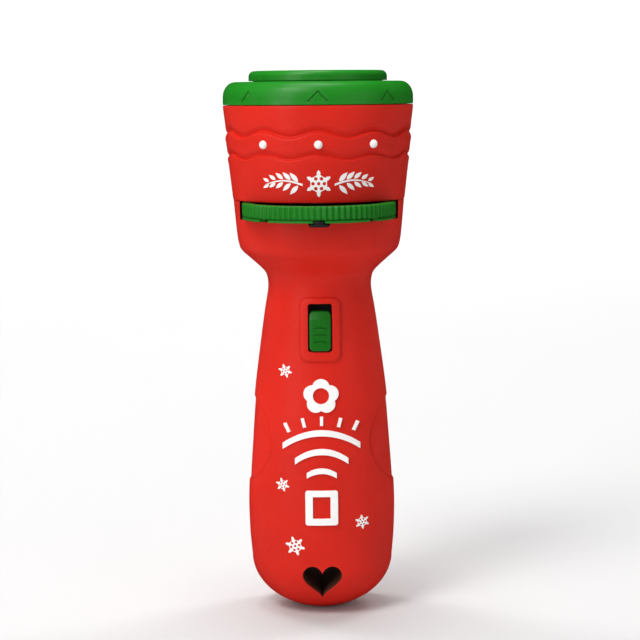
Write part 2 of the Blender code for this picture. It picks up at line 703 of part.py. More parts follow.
def picture_cylinders(radius, low, high, segments):
    """A window for each picture on the wheel. One of them lies on the optical axis."""
    cutters = []
    for k in range(PICTURES):
        angle = 2 * math.pi * k / PICTURES + math.pi / 2
        at = (-WHEEL_Y * math.cos(angle), WHEEL_Y - WHEEL_Y * math.sin(angle), 0)
        cutters.append(cylinder("window", radius, low, high, segments=segments, at=at))
    return cutters


def disc(name, low, high, material):
    """A flat ring that lies in the wheel."""
    outer, inner = 22.3, 4.8
    profile = ((outer, high), (outer, low), (inner, low), (inner, high))
    return turned(name, profile, material, 24, (0, WHEEL_Y, 0))


def make_wheel():
    axis = (0, WHEEL_Y, 0)
    wheel = turned(
        "slide_wheel",
        (
            (4.4, WHEEL_TOP), (4.4, 139.4), (24.3, 139.4), (24.3, 136.8), (WHEEL_RADIUS, 136.8),
            (WHEEL_RADIUS, WHEEL_BOTTOM), (22.7, WHEEL_BOTTOM), (22.7, 138.0), (4.4, 138.0),
            (4.4, WHEEL_BOTTOM), (AXLE_RADIUS + GAP, WHEEL_BOTTOM), (AXLE_RADIUS + GAP, WHEEL_TOP),
        ),
        "green_wheel",
        28,
        axis,
    )
    rim = [ribbed_circle(WHEEL_RADIUS, RIBS, RIB_DEPTH), circle(23.0, 28)]
    band = flat_outline("wheel_band", rim, BAND_BOTTOM, WHEEL_TOP)
    band.location.y = WHEEL_Y * MM
    boolean(wheel, "UNION", band)
    boolean(wheel, "DIFFERENCE", joined("wheel_windows", picture_cylinders(PICTURE_RADIUS, 137, 140.5, 10)))
    notches = []
    half, notch_top = NOTCH_WIDTH / 2, 136.9
    for k in range(PICTURES):
        notch = box("notch", (-half, -30, 135), (half, NOTCH_DEPTH - WHEEL_RADIUS, notch_top))
        turn_about(notch, axis, 2 * math.pi * k / PICTURES)
        notches.append(notch)
    boolean(wheel, "DIFFERENCE", joined("wheel_notches", notches))

    film = disc("film_disc", 139.7, 140.0, "film")
    cover = disc("film_cover", 140.3, 141.1, "black_plastic")
    boolean(cover, "DIFFERENCE", joined("cover_windows", picture_cylinders(COVER_HOLE_RADIUS, 139, 142, 8)))
    empty("slide_wheel_axis", axis, [wheel, film, cover])
    turned(
        "wheel_axle",
        (
            (0, 145.7), (2.2, 145.7), (2.6, 145.3), (2.6, FLOOR_TOP + GAP), (AXLE_RADIUS, FLOOR_TOP + GAP),
            (AXLE_RADIUS, 132.3), (0, 132.3),
        ),
        "steel",
        12,
        axis,
    )


# ---------------------------------------------------------------- focus


def pin_angles():
    return [2 * math.pi * k / PINS + math.pi / 2 for k in range(PINS)]


def radial(name, radius, low, high, angle, z, material=None, segments=10):
    """A round bar that points out from the optical axis."""
    return cylinder(name, radius, low, high, material, segments, (0, 0, z), (0, math.pi / 2, angle))


def helix_slots():
    """The ring's slots. Seen from the ring, each pin goes backwards as it climbs."""
    slots = []
    middle = sum(SLEEVE_RADII) / 2
    steps = 8
    for start in pin_angles():
        points = []
        for k in range(steps + 1):
            part = -HELIX_SPARE + (1 + 2 * HELIX_SPARE) * k / steps
            angle = start - math.radians(FOCUS_TURN) * part
            points.append((middle * math.cos(angle), middle * math.sin(angle), PIN_Z + PIN_TRAVEL * part))
        slots.append(tube("helix", points, HELIX_RADIUS))
    return joined("helix_slots", slots)


def make_focus_ring():
    across, up = SHOULDER
    shoulder = [
        (RING_RADIUS - across + across * math.sin(a), RING_TOP - up + up * math.cos(a))
        for a in np.linspace(0, math.pi / 2, 5)
    ]
    inner, outer = SLEEVE_RADII
    bore = BARREL_RADIUS + 0.5
    ring = turned(
        "focus_ring",
        (
            *shoulder, (RING_RADIUS, RING_BOTTOM), (30.4, RING_BOTTOM), (30.4, 178.8), (28.4, 178.8),
            (28.4, 169.9), (29.1, 169.6), (29.1, 168.4), (28.4, 167.6), (outer, 167.6), (outer, 156.5),
            (inner, 156.5), (inner, 179.2), (bore, 179.2), (bore, RING_TOP),
        ),
        "green_ring",
        28,
    )
    boolean(ring, "DIFFERENCE", helix_slots())
    empty("focus_axis", (0, 0, 0), [ring])


def make_barrel():
    barrel = turned(
        "lens_barrel",
        (
            (21.5, BARREL_TOP), *arc((21.5, BARREL_TOP - 1.9), 1.9, 60, 0, 2), (FLANGE_RADIUS, 181.8),
            (BARREL_RADIUS, 181.8), (BARREL_RADIUS, 153.0), (20.1, 153.0), (20.1, 171.8), (18.2, 171.8),
            (18.2, 173.0), (20.1, 173.0), (20.1, BARREL_TOP),
        ),
        "green_barrel",
        28,
    )
    holes = [radial("hole", PIN_RADIUS + GAP, 18, 24, angle, PIN_Z) for angle in pin_angles()]
    boolean(barrel, "DIFFERENCE", joined("barrel_holes", holes))
    pins = []
    for number, angle in enumerate(pin_angles(), 1):
        pins.append(radial(f"focus_pin_{number}", PIN_RADIUS, *PIN_SPAN, angle, PIN_Z, "steel"))
    lens = turned("projection_lens", lens_profile(19.2, 173.4, 175.2, 5.2, 0), "clear_lens", 20)
    retainer = turned(
        "lens_retainer",
        ((19.8, 178.4), (19.8, 176.6), (18.0, 176.6), (18.0, 177.8), (18.6, 178.4)),
        "black_plastic",
        24,
    )
    empty("lens_slide", (0, 0, 0), [barrel, lens, retainer, *pins])


def lens_profile(radius, low, high, top_bulge, bottom_bulge, steps=4):
    """A lens from the axis at its top, down its rim, to the axis at its bottom."""
    top = [(radius * k / steps, high + top_bulge * (1 - (k / steps) ** 2)) for k in range(steps + 1)]
    if not bottom_bulge:
        return (*top, (radius, low), (0, low))
    bottom = [(radius * k / steps, low - bottom_bulge * (1 - (k / steps) ** 2)) for k in range(steps + 1)]
    return (*top, *bottom[::-1])


def make_guide_tube():
    inner, outer = GUIDE_RADII
    guide = turned(
        "lens_guide_tube",
        ((outer, 178.8), (outer, 146.0), (26.4, 146.0), (26.4, 144.5), (inner, 144.5), (inner, 178.8)),
        "white_plastic",
        28,
    )
    slots = []
    half = PIN_RADIUS + 0.4
    for angle in pin_angles():
        slot = box("slot", (21, -half, PIN_Z - half), (25.5, half, PIN_Z + PIN_TRAVEL + half))
        turn_about(slot, (0, 0, 0), angle)
        slots.append(slot)
    boolean(guide, "DIFFERENCE", joined("guide_slots", slots))


# ---------------------------------------------------------------- light


def board_screw_holes(low, high):
    xs = (-BOARD_SCREW_X, BOARD_SCREW_X)
    return [cylinder("hole", BOARD_HOLE_RADIUS, low, high, segments=8, at=(x, 0, 0)) for x in xs]


def make_light():
    board = cylinder("led_board", 15.7, 116.0, 117.6, "board", 20)
    boolean(board, "DIFFERENCE", joined("board_holes", board_screw_holes(115, 119)))
    turned(
        "led",
        ((0, 123.4), (1.6, 122.8), (2.4, 121.4), (2.5, 118.9), (2.9, 118.9), (2.9, 117.9), (0, 117.9)),
        "led_epoxy",
        12,
    )
    turned(
        "led_resistor",
        ((0, 3.0), (0.9, 3.0), (1.2, 2.6), (1.2, 1.6), (1.0, 1.2), (1.0, -1.2), (1.2, -1.6), (1.2, -2.6),
         (0.9, -3.0), (0, -3.0)),
        "white_plastic",
        8,
        (0, 5.0, 114.4),
        (0, math.pi / 2, 0),
    )
    tube_piece = turned(
        "light_tube",
        (
            (10.6, 131.6), (10.6, 127.0), (8.6, 125.0), (8.6, 120.1), (13.0, 120.1), (13.0, 117.9),
            (6.6, 117.9), (6.6, 125.6), (9.0, 127.4), (9.0, 131.6),
        ),
        "black_plastic",
        20,
    )
    boolean(tube_piece, "DIFFERENCE", joined("tube_holes", board_screw_holes(117, 119.6)))
    turned("condenser_lens", lens_profile(8.6, 128.9, 129.7, 1.5, 1.0, 3), "clear_lens", 16)
    for number, x in enumerate((-BOARD_SCREW_X, BOARD_SCREW_X), 1):
        head = (x, 0, BOARD_SCREW_HEAD_Z)
        turn = (math.pi, 0, 0)
        make_screw(f"board_screw_{number}", head, BOARD_SCREW_LENGTH, BOARD_HEAD_RADIUS, turn, BOARD_SHAFT)


# ---------------------------------------------------------------- switch


def make_switch():
    outline = rounded_rectangle(*BUTTON)
    button = flat_outline("switch_slider", [outline], -FAR, BUTTON_BACK_Y, "green_button", True)
    levels = [88, 93, 98, 103, 109]
    boolean(button, "INTERSECT", rounded_case("button_skin", BUTTON_RISE, 48, levels))
    reach, half, floor = BUTTON_GROOVE
    for number, z in enumerate(BUTTON_RIBS, 1):
        floor_y = -case_surface_y(0, z) - floor
        groove = box(f"button_groove_{number}", (-reach, -FAR, z - half), (reach, floor_y, z + half))
        boolean(button, "DIFFERENCE", groove)
    near, far = SHIELD_Y
    bottom, top = WINDOW[1] - SWITCH_TRAVEL - SHIELD_LAP, WINDOW[2] + SHIELD_LAP
    shield = box(
        "switch_shield", (-SHIELD_HALF_WIDTH, near, bottom), (SHIELD_HALF_WIDTH, far, top), "black_plastic"
    )
    lever = box("switch_lever", (-1.3, -12.7, 96.2), (1.3, -10.6, 99.4), "white_plastic", 0.3)
    empty("switch_slide", (0, -15, 98.6), [button, shield, lever])

    body = box("switch_body", (-4.4, -10.3, 88.0), (4.4, -4.4, 105.4), "black_plastic")
    ears = box("switch_ears", (-12.0, EAR_Y[0], 94.6), (12.0, EAR_Y[1], 99.4))
    boolean(body, "UNION", ears)
    xs = (-SWITCH_SCREW_X, SWITCH_SCREW_X)
    holes = [along_y("hole", SWITCH_PILOT_RADIUS, x, SWITCH_SCREW_Z, *EAR_HOLE_Y) for x in xs]
    boolean(body, "DIFFERENCE", joined("ear_holes", holes))
    for number, x in enumerate(xs, 1):
        head = (x, EAR_Y[1] + GAP + HEAD_HEIGHT, SWITCH_SCREW_Z)
        name = f"switch_screw_{number}"
        make_screw(name, head, SWITCH_SCREW_LENGTH, SWITCH_HEAD_RADIUS, shaft=THIN_SHAFT)


# ---------------------------------------------------------------- batteries


def make_tray():
    half, front, side_end, side_y = 18.4, -0.9, 4, 6.0
    base = box("battery_tray", (-half, front, TRAY_BOTTOM), (half, -front, TRAY_TOP), "white_plastic")
    walls = []
    for left in (-half, half - TRAY_WALL):
        low = (left, front, TRAY_BOTTOM + side_end)
        walls.append(box("side", low, (left + TRAY_WALL, side_y, TRAY_TOP - side_end)))
    boolean(base, "UNION", joined("tray_sides", walls))
    end_half, end_front, end_rear = 16.6, -0.5, 8.8
    ends = []
    for low in (TRAY_BOTTOM, TRAY_TOP - TRAY_WALL):
        ends.append(box("end", (-end_half, end_front, low), (end_half, end_rear, low + TRAY_WALL)))
    boolean(base, "UNION", joined("tray_ends", ends))
    boss_half, boss_front, boss_rear, lap = 4.0, -0.7, 12.4, 0.7
    bosses = []
    for low, high in (
        (DOOR_SCREW_ZS[0] - 3.4, TRAY_BOTTOM + lap),
        (TRAY_TOP - lap, DOOR_SCREW_ZS[1] + 3.0),
    ):
        bosses.append(box("boss", (-boss_half, boss_front, low), (boss_half, boss_rear, high)))
    boolean(base, "UNION", joined("tray_bosses", bosses))
    holes = [along_y("hole", PILOT_RADIUS, 0, z, *TRAY_HOLE_Y) for z in DOOR_SCREW_ZS]
    boolean(base, "DIFFERENCE", joined("tray_holes", holes))


def make_cells():
    low = TRAY_BOTTOM + TRAY_WALL + 2 * GAP + PLATE
    high = TRAY_TOP - TRAY_WALL - 2 * GAP - PLATE
    nub = 1.0
    profile = (
        (0, CELL_LENGTH), (1.9, CELL_LENGTH), (1.9, CELL_LENGTH - nub), (4.7, CELL_LENGTH - nub),
        (CELL_RADIUS, CELL_LENGTH - nub - 0.5), (CELL_RADIUS, 0.4), (4.8, 0), (0, 0),
    )
    for number, (x, upright) in enumerate(((-CELL_PITCH, True), (0, False), (CELL_PITCH, True)), 1):
        at = (x, CELL_Y, high - CELL_LENGTH if upright else low + CELL_LENGTH)
        turn = (0 if upright else math.pi, 0, 0)
        turned(f"battery_cell_{number}", profile, "cell_jacket", 14, at, turn)
        start = low if upright else low + CELL_LENGTH + GAP
        end = high - CELL_LENGTH - GAP if upright else high
        make_spring(f"battery_spring_{number}", x, start, end)


def make_spring(name, x, low, high):
    wire, turns, per_turn = 0.3, 2, 8
    widest, narrowest = 3.4, 2.4
    count = turns * per_turn
    points = []
    for k in range(count + 1):
        angle = 2 * math.pi * k / per_turn
        radius = widest - (widest - narrowest) * k / count
        z = low + wire + (high - low - 2 * wire) * k / count
        points.append((x + radius * math.cos(angle), CELL_Y + radius * math.sin(angle), z))
    tube(name, points, wire, "steel")


def make_contacts():
    low = TRAY_BOTTOM + TRAY_WALL + GAP
    high = TRAY_TOP - TRAY_WALL - GAP - PLATE
    half, front, rear, tab_rear = 3.8, 1.3, 8.4, 10.0
    plates = (
        ("contact_positive", -CELL_PITCH - half, -CELL_PITCH + half, high, tab_rear),
        ("contact_bridge_top", -half, CELL_PITCH + half, high, rear),
        ("contact_bridge_bottom", -CELL_PITCH - half, half, low, rear),
        ("contact_negative", CELL_PITCH - half, CELL_PITCH + half, low, tab_rear),
    )
    for name, left, right, z, reach in plates:
        box(name, (left, front, z), (right, reach, z + PLATE), "brass")


def make_wires():
    low = TRAY_BOTTOM + TRAY_WALL + GAP + PLATE / 2
    high = TRAY_TOP - TRAY_WALL - GAP - PLATE / 2
    rear = CELL_Y + 4.9
    routes = {
        "wire_battery_to_switch": (
            "red_wire", 10,
            (
                (-CELL_PITCH, rear, high), (-9.4, rear, 80.4), (-6.4, 8.5, 83.4), (-5.6, 2.0, 87.0),
                (-3.4, -3.7, 90.6),
            ),
        ),
        "wire_switch_to_led": (
            "red_wire", 9,
            ((2.6, -3.6, 103.0), (3.2, -2.4, 106.0), (5.2, -3.4, 110.0), (6.0, -4.6, 115.6)),
        ),
        "wire_battery_to_led": (
            "black_wire", 24,
            (
                (CELL_PITCH, rear, low), (9.0, rear, 31.0), (5.6, 10.4, 38.0), (5.6, 10.1, 60.0),
                (5.6, 10.2, 80.5), (5.4, 6.0, 88.0), (3.8, 1.5, 98.0), (5.0, 1.0, 108.0), (6.4, 1.6, 115.6),
            ),
        ),
    }
    for name, (material, count, route) in routes.items():
        tube(name, smooth_route(route, count), WIRE_RADIUS, material, 1)


clear_scene()
PARTS = new_collection("slide_projector_torch")
CUTTERS = new_collection("cutters")
made_materials = {name: make_material(name) for name in MATERIALS}

hollow_shapes = case_hollows()
make_shells(hollow_shapes, heart_tunnel())
make_door(hollow_shapes)
for place_number, (screw_x, screw_z) in enumerate(screw_places(), 1):
    head_at = (screw_x, CASE_SCREW_HEAD_Y, screw_z)
    make_screw(f"case_screw_{place_number}", head_at, CASE_SCREW_LENGTH, CASE_HEAD_RADIUS)
make_drum()
make_gate_plate()
make_detent_spring()
make_wheel()
make_focus_ring()
make_barrel()
make_guide_tube()
make_light()
make_switch()
make_tray()
make_cells()
make_contacts()
make_wires()
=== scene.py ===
"""Looks of the handheld slide-projector torch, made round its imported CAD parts.

Shapes are written in millimetres, as in the CAD source, and scaled by MM as each mesh is made.
"""

import math

import bmesh
import bpy
import numpy as np
from mathutils import Matrix, Vector


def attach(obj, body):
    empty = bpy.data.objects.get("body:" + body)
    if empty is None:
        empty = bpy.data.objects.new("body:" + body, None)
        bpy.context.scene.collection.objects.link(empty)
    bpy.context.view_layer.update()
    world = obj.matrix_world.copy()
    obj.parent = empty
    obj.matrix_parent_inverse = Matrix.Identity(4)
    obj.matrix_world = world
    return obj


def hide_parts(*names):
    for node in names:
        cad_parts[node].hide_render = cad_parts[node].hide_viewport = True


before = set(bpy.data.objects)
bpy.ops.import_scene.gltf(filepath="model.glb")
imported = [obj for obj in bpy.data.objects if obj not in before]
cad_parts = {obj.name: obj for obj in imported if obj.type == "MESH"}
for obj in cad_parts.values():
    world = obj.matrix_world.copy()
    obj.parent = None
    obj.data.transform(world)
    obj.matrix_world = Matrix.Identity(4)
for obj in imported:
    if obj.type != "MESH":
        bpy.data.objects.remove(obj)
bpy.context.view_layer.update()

MM = 0.001
QUARTER = math.pi / 2
GAP = 0.3
WALL = 2.0

# The case, as the CAD has it
TAIL_HEIGHT, TAIL_HALF_WIDTH, TAIL_FLAT = 18.5, 24.3, 0.25
CASE_TOP = 141.9
HALF_WIDTHS = (  # height, half-width
    (18.5, 24.3), (27, 25.0), (40, 25.2), (60, 23.95), (76, 22.65), (92.7, 20.5), (105.2, 18.7),
    (110, 17.85), (112.8, 17.6), (115.6, 17.95), (117.6, 18.9), (121.8, 23.3), (123.8, 25.6),
    (125, 26.7), (126.6, 27.35), (130, 27.95), (142.5, 29.1),
)
DEPTH_RATIOS = ((0, 0.835), (40, 0.835), (60, 0.85), (92.7, 0.90), (112.5, 1.0), (143, 1.0))
SEAM_Y = (0.3, 0.6)
MEET_Y = (0.43, 0.47)  # below the seam groove the two shells almost touch
GRIP_CENTRE_Z, GRIP_HALF_HEIGHT, GRIP_HALF_ARC, GRIP_DEPTH = 59.5, 14.8, 19.6, 0.5
NECK_CAVITY_RADIUS = 14.6
BOARD_LEDGE_Z = 115.7
CASE_SEGMENTS = 144
RIM_ROUND = 0.3

WHEEL_Y, WHEEL_RADIUS = -13.5, 25.6
WHEEL_BOTTOM, BAND_BOTTOM, WHEEL_TOP = 136.1, 137.0, 141.6
WHEEL_CAVITY_RADIUS = 26.6
SLOT_BOTTOM, SLOT_TOP = 135.6, 142.2
RIBS, RIB_DEPTH, PICTURES = 80, 0.5, 8
NOTCH_WIDTH, NOTCH_DEPTH = 3.9, 3.1
AXLE_RADIUS = 1.5

DRUM_TOP, FLOOR_TOP, WAVES = 173.6, 144.2, 10
GROOVES = ((164.5, 2.6, 1.0), (157.0, 2.2, 0.8))  # height, reach, how far the waves swing
COLUMN_AT = (13.0, 14.0)
LIP_RADII, LIP_TOP = (28.8, 30.0), 175.3
WAVED_RADIUS = 29.9
LOWER_TIER = ((29.24, 142.7), (29.3, 143.2), (29.55, 145.4), (29.9, 148.6), (30.3, 152.0), (30.55, 154.0))

RING_RADIUS, RING_BOTTOM, RING_TOP = 32.2, 173.78, 181.4
SHOULDER = (4.2, 5.2)  # across, down
SLEEVE_RADII = (24.3, 26.5)
BARREL_RADIUS, FLANGE_RADIUS, BARREL_TOP = 21.9, 23.4, 185.0
PIN_Z, PIN_TRAVEL, PIN_RADIUS, PINS, FOCUS_TURN = 160.0, 4.0, 1.0, 3, 90.0

PAD = (6.95, 88.1, 109.9, 2.7)  # half-width, bottom, top, corner
WINDOW = (4.0, 91.7, 107.8, 0.9)
BUTTON = (3.6, 92.05, 105.25, 1.4)
PAD_RISE, BUTTON_RISE, BUTTON_BACK_Y = 0.95, 1.5, -14.1
BUTTON_RIBS = (94.95, 97.2, 99.45)

DOOR = (16.5, 20.5, 85.2)  # half-width, bottom, top
DOOR_SCREW_ZS = (24.6, 81.9)
CASE_SCREWS = ((14.0, 13.5), (13.0, 90.0), (20.5, 127.0))
CASE_SCREW_HEAD_Y = 6.9
SWITCH_SCREW_X, SWITCH_SCREW_Z, EAR_FRONT_Y = 9.5, 97.0, -9.9
HEART_WIDTH, HEART_BOTTOM, HEART_TOP, HEART_WALL = 12.9, 6.4, 18.2, 1.4
SHADE_SLEEVE = 0.25  # thickness of the dark sleeve in the heart-shaped hole, which is painted shade for the hole's inside

# Radii of the screw posts, the holes in them and the sinks over the screw heads
FRONT_POST, REAR_POST, SWITCH_POST, DOOR_POST = 3.0, 4.0, 2.4, 3.1
FRONT_HOLE, REAR_HOLE, SWITCH_HOLE, DRUM_HOLE = 1.3, 1.4, 1.2, 1.3
REAR_SINK, DOOR_SINK = 3.0, 2.6
REAR_SCREW, DOOR_SCREW = (11.0, 2.6), (7.0, 2.2)  # length, head radius
DOOR_SCREW_INSET = 1.6
INSIDE = -0.5  # how far below the case's surface the posts stop
SHARP_ANGLE = 32  # degrees; sharper edges aren't shaded smooth


# ---------------- materials


class Graph:
    """A new material, with short ways to add nodes and to fill their inputs."""

    def __init__(self, name):
        self.material = bpy.data.materials.new(name)
        self.material.use_nodes = True
        self.nodes, self.links = self.material.node_tree.nodes, self.material.node_tree.links
        self.coords = self.nodes.new("ShaderNodeTexCoord")

    def fill(self, node, inputs):
        """Sets each input to its number, or links it to its node's output."""
        for socket, value in inputs.items():
            if isinstance(value, bpy.types.NodeSocket):
                self.links.new(value, node.inputs[socket])
            else:
                node.inputs[socket].default_value = value
        return node

    def add(self, kind, inputs, **settings):
        node = self.nodes.new("ShaderNode" + kind)
        for setting, value in settings.items():
            setattr(node, setting, value)
        return self.fill(node, inputs)

    def finished(self, inputs):
        """Fills the shader's inputs. A whole-surface constant sits on its own socket."""
        self.fill(self.nodes["Principled BSDF"], inputs)
        return self.material

    def noise(self, scale, detail=2.0, stretch=None):
        at = self.coords.outputs["Object"]
        if stretch:
            at = self.add("Mapping", {"Vector": at, "Scale": stretch}).outputs["Vector"]
        return self.add("TexNoise", {"Vector": at, "Scale": scale, "Detail": detail}).outputs["Fac"]

    def spread(self, value, low=0.0, high=1.0, start=0.35, end=0.65):
        """Maps start to end onto low to high, and clamps the rest."""
        ends = {"From Min": start, "From Max": end, "To Min": low, "To Max": high}
        return self.add("MapRange", {"Value": value, **ends}).outputs["Result"]

    def mixed(self, factor, first, second):
        """Mixes two colours, each a tuple or a node's output."""
        first, second = ((*c, 1.0) if isinstance(c, tuple) else c for c in (first, second))
        return self.add("Mix", {"Factor": factor, 6: first, 7: second}, data_type="RGBA").outputs[2]

    def bump(self, height, distance, strength, **normal):
        inputs = {"Height": height, "Distance": distance, "Strength": strength, **normal}
        return self.add("Bump", inputs).outputs["Normal"]


def tinted(colour, factor):
    return tuple(min(1.0, channel * factor) for channel in colour)


def plastic(name, colour, roughness, grain=0.00003, edge=0.00025, tone=0.07, worn=0.04, gloss=0.16):
    """Moulded plastic: a fine sparked grain, faint flow marks, softened edges and slightly paler corners."""
    g = Graph(name)
    body = g.mixed(g.spread(g.noise(28.0, 3.0)), tinted(colour, 1 - tone), tinted(colour, 1 + tone))
    fleck = g.spread(g.noise(1900.0, 3.0), start=0.58, end=0.72)
    flecked = g.mixed(fleck, body, tinted(colour, 1 + 2 * tone))
    corner = g.spread(g.add("NewGeometry", {}).outputs["Pointiness"], high=worn, start=0.52, end=0.6)
    pale = tuple(channel + 0.35 * (1 - channel) for channel in colour)
    soft = g.add("Bevel", {"Radius": edge}, samples=4).outputs["Normal"]
    flow = g.bump(g.noise(160.0), grain * 2, 0.5, Normal=soft)
    return g.finished({
        "Base Color": g.mixed(corner, flecked, pale),
        "Roughness": g.spread(g.noise(140.0, 4.0), roughness - 0.05, roughness + 0.06),
        "Normal": g.bump(g.noise(3600.0), grain, 0.7, Normal=flow),
        "Specular IOR Level": gloss,
    })


def paint(name, colour, roughness):
    """Pad-printed enamel: even colour with a slight pebble and thin places."""
    g = Graph(name)
    body = g.mixed(g.spread(g.noise(420.0, 4.0)), tinted(colour, 0.97), tinted(colour, 1.02))
    thin = g.spread(g.noise(2400.0, 3.0), high=0.25, start=0.62, end=0.75)
    return g.finished({
        "Base Color": g.mixed(thin, body, (0.80, 0.62, 0.58)),
        "Roughness": g.spread(g.noise(300.0, 3.0), roughness - 0.06, roughness + 0.08),
        "Normal": g.bump(g.noise(2600.0), 0.00002, 0.6),
    })


def metal(name, colour, roughness, brushed=(1.0, 1.0, 14.0)):
    """Brushed metal with darker stains. brushed squeezes the noise across the brush's strokes."""
    g = Graph(name)
    body = g.mixed(g.spread(g.noise(900.0, 4.0, brushed)), tinted(colour, 0.82), tinted(colour, 1.1))
    stain = g.spread(g.noise(260.0, 4.0), high=0.35, start=0.55, end=0.75)
    return g.finished({
        "Metallic": 1.0,
        "Base Color": g.mixed(stain, body, tinted(colour, 0.55)),
        "Roughness": g.spread(g.noise(700.0, 3.0, brushed), roughness - 0.08, roughness + 0.12),
        "Normal": g.bump(g.noise(1800.0, 3.0, brushed), 0.00001, 0.6),
    })


def clear(name, colour, roughness, ior=1.49):
    """Clear resin with faint haze and ripples."""
    g = Graph(name)
    return g.finished({
        "Transmission Weight": 1.0,
        "IOR": ior,
        "Base Color": g.mixed(g.spread(g.noise(60.0)), tinted(colour, 0.97), colour),
        "Roughness": g.spread(g.noise(900.0, 4.0), roughness, roughness + 0.03, 0.5, 0.7),
        "Normal": g.bump(g.noise(120.0), 0.000004, 0.4),
    })


def film_material():
    """Clear film, its small colour pictures only soft patches of colour."""
    g = Graph("film_pictures")
    cool = g.mixed(g.spread(g.noise(210.0), start=0.45, end=0.55), (0.03, 0.12, 0.45), (0.85, 0.30, 0.10))
    return g.finished({
        "Transmission Weight": 0.75,
        "IOR": 1.4,
        "Base Color": g.mixed(g.spread(g.noise(330.0), start=0.48, end=0.56), cool, (0.92, 0.85, 0.35)),
        "Roughness": g.spread(g.noise(500.0, 3.0), 0.08, 0.22),
    })


def board_material():
    """Green solder mask over a faint glass weave, with tinned spots."""
    g = Graph("solder_mask")
    weave = g.add("TexWave", {"Scale": 900.0}).outputs["Fac"]
    green = g.mixed(g.spread(weave, start=0.0, end=1.0), (0.012, 0.11, 0.035), (0.02, 0.16, 0.055))
    tinned = g.spread(g.noise(520.0, 1.0), start=0.70, end=0.72)
    return g.finished({
        "Base Color": g.mixed(tinned, green, (0.62, 0.62, 0.60)),
        "Roughness": g.spread(g.noise(200.0), 0.25, 0.45),
        "Normal": g.bump(weave, 0.00001, 0.4),
    })


def cell_material():
    """A shrink sleeve with a paler band at its foot and fine wrinkles."""
    g = Graph("cell_sleeve")
    place = g.add("SeparateXYZ", {"Vector": g.add("NewGeometry", {}).outputs["Position"]})
    above_band = g.spread(place.outputs["Z"], start=0.040, end=0.0405)
    sleeve = g.mixed(above_band, (0.55, 0.56, 0.58), (0.03, 0.07, 0.26))
    worn = g.spread(g.noise(700.0, 4.0), high=0.5, start=0.6, end=0.75)
    return g.finished({
        "Base Color": g.mixed(worn, sleeve, (0.25, 0.28, 0.36)),
        "Roughness": g.spread(g.noise(250.0, 3.0), 0.25, 0.42),
        "Normal": g.bump(g.noise(500.0, 3.0, (1.0, 1.0, 0.15)), 0.00004, 0.5),
    })


RED = (0.65, 0.017, 0.0080)
RED_DEEP = (0.64, 0.017, 0.0080)
GREEN = (0.010, 0.205, 0.010)
GREEN_WHEEL = (0.008, 0.175, 0.008)
GREEN_BUTTON = (0.007, 0.145, 0.007)
FINE_EDGE = 0.00012
looks = {
    "red_case": plastic("red_case_moulding", RED, 0.42),
    "red_drum": plastic("red_drum_moulding", RED, 0.40),
    "red_door": plastic("red_door_moulding", RED_DEEP, 0.46),
    "green_ring": plastic("green_ring_moulding", GREEN, 0.38, edge=FINE_EDGE, gloss=0.25),
    "green_barrel": plastic("green_barrel_moulding", GREEN, 0.38, edge=FINE_EDGE, gloss=0.25),
    "green_wheel": plastic("green_wheel_moulding", GREEN_WHEEL, 0.45, edge=FINE_EDGE, gloss=0.2),
    "green_button": plastic("green_button_moulding", GREEN_BUTTON, 0.40, edge=FINE_EDGE, gloss=0.2),
    "black_plastic": plastic("black_moulding", (0.007, 0.007, 0.008), 0.5, 0.00004, tone=0.2, worn=0.02),
    "white_plastic": plastic("natural_white_moulding", (0.74, 0.73, 0.69), 0.5, tone=0.03),
    "clear_lens": clear("lens_acrylic", (0.97, 0.99, 0.99), 0.01),
    "film": film_material(),
    "steel": metal("zinc_plated_steel", (0.60, 0.60, 0.61), 0.3),
    "brass": metal("contact_brass", (0.74, 0.55, 0.27), 0.34, (8.0, 1.0, 1.0)),
    "board": board_material(),
    "led_epoxy": clear("led_resin", (0.95, 0.95, 0.80), 0.04, 1.54),
    "cell_jacket": cell_material(),
    "red_wire": plastic("red_wire_sheath", (0.50, 0.02, 0.018), 0.42, 0.00001),
    "black_wire": plastic("black_wire_sheath", (0.013, 0.013, 0.013), 0.42, 0.00001),
}
white_print = paint("white_print", (0.95, 0.94, 0.925), 0.42)
# Painted shade: a dark brown finish for the sleeve in the heart-shaped hole, standing in for the shadow
# inside it.
painted_shade_lining = plastic("painted_shade_lining", (0.12, 0.045, 0.03), 0.7, tone=0.2, worn=0.0, gloss=0.02)


# ---------------- shape tools


def smooth_value(points, at):
    """The curve through the points, with each slope taken from its two neighbours."""
    xs, ys = zip(*points)
    at = min(max(at, xs[0]), xs[-1])
    i = min(max(int(np.searchsorted(xs, at, side="right")) - 1, 0), len(xs) - 2)

    def slope(k):
        low, high = max(k - 1, 0), min(k + 1, len(xs) - 1)
        return (ys[high] - ys[low]) / (xs[high] - xs[low])

    step = xs[i + 1] - xs[i]
    t = (at - xs[i]) / step
    start, end = slope(i) * step, slope(i + 1) * step
    rise = ys[i + 1] - ys[i]
    return ys[i] + t * start + t * t * (3 * rise - 2 * start - end) + t**3 * (start + end - 2 * rise)


def half_width(z):
    if z >= TAIL_HEIGHT:
        return smooth_value(HALF_WIDTHS, z)
    below_shoulder = 1 - (max(z, 0.0) + TAIL_FLAT) / (TAIL_HEIGHT + TAIL_FLAT)
    return TAIL_HALF_WIDTH * math.sqrt(1 - below_shoulder**2)


def half_depth(z):
    return half_width(z) * smooth_value(DEPTH_RATIOS, z)


def case_point(angle, z, grow=0.0):
    rim = z - (CASE_TOP - RIM_ROUND)
    if grow >= 0 and 0 < rim <= RIM_ROUND:
        grow -= RIM_ROUND - math.sqrt(max(RIM_ROUND**2 - rim**2, 0.0))
    return Vector(((half_width(z) + grow) * math.cos(angle), (half_depth(z) + grow) * math.sin(angle), z))


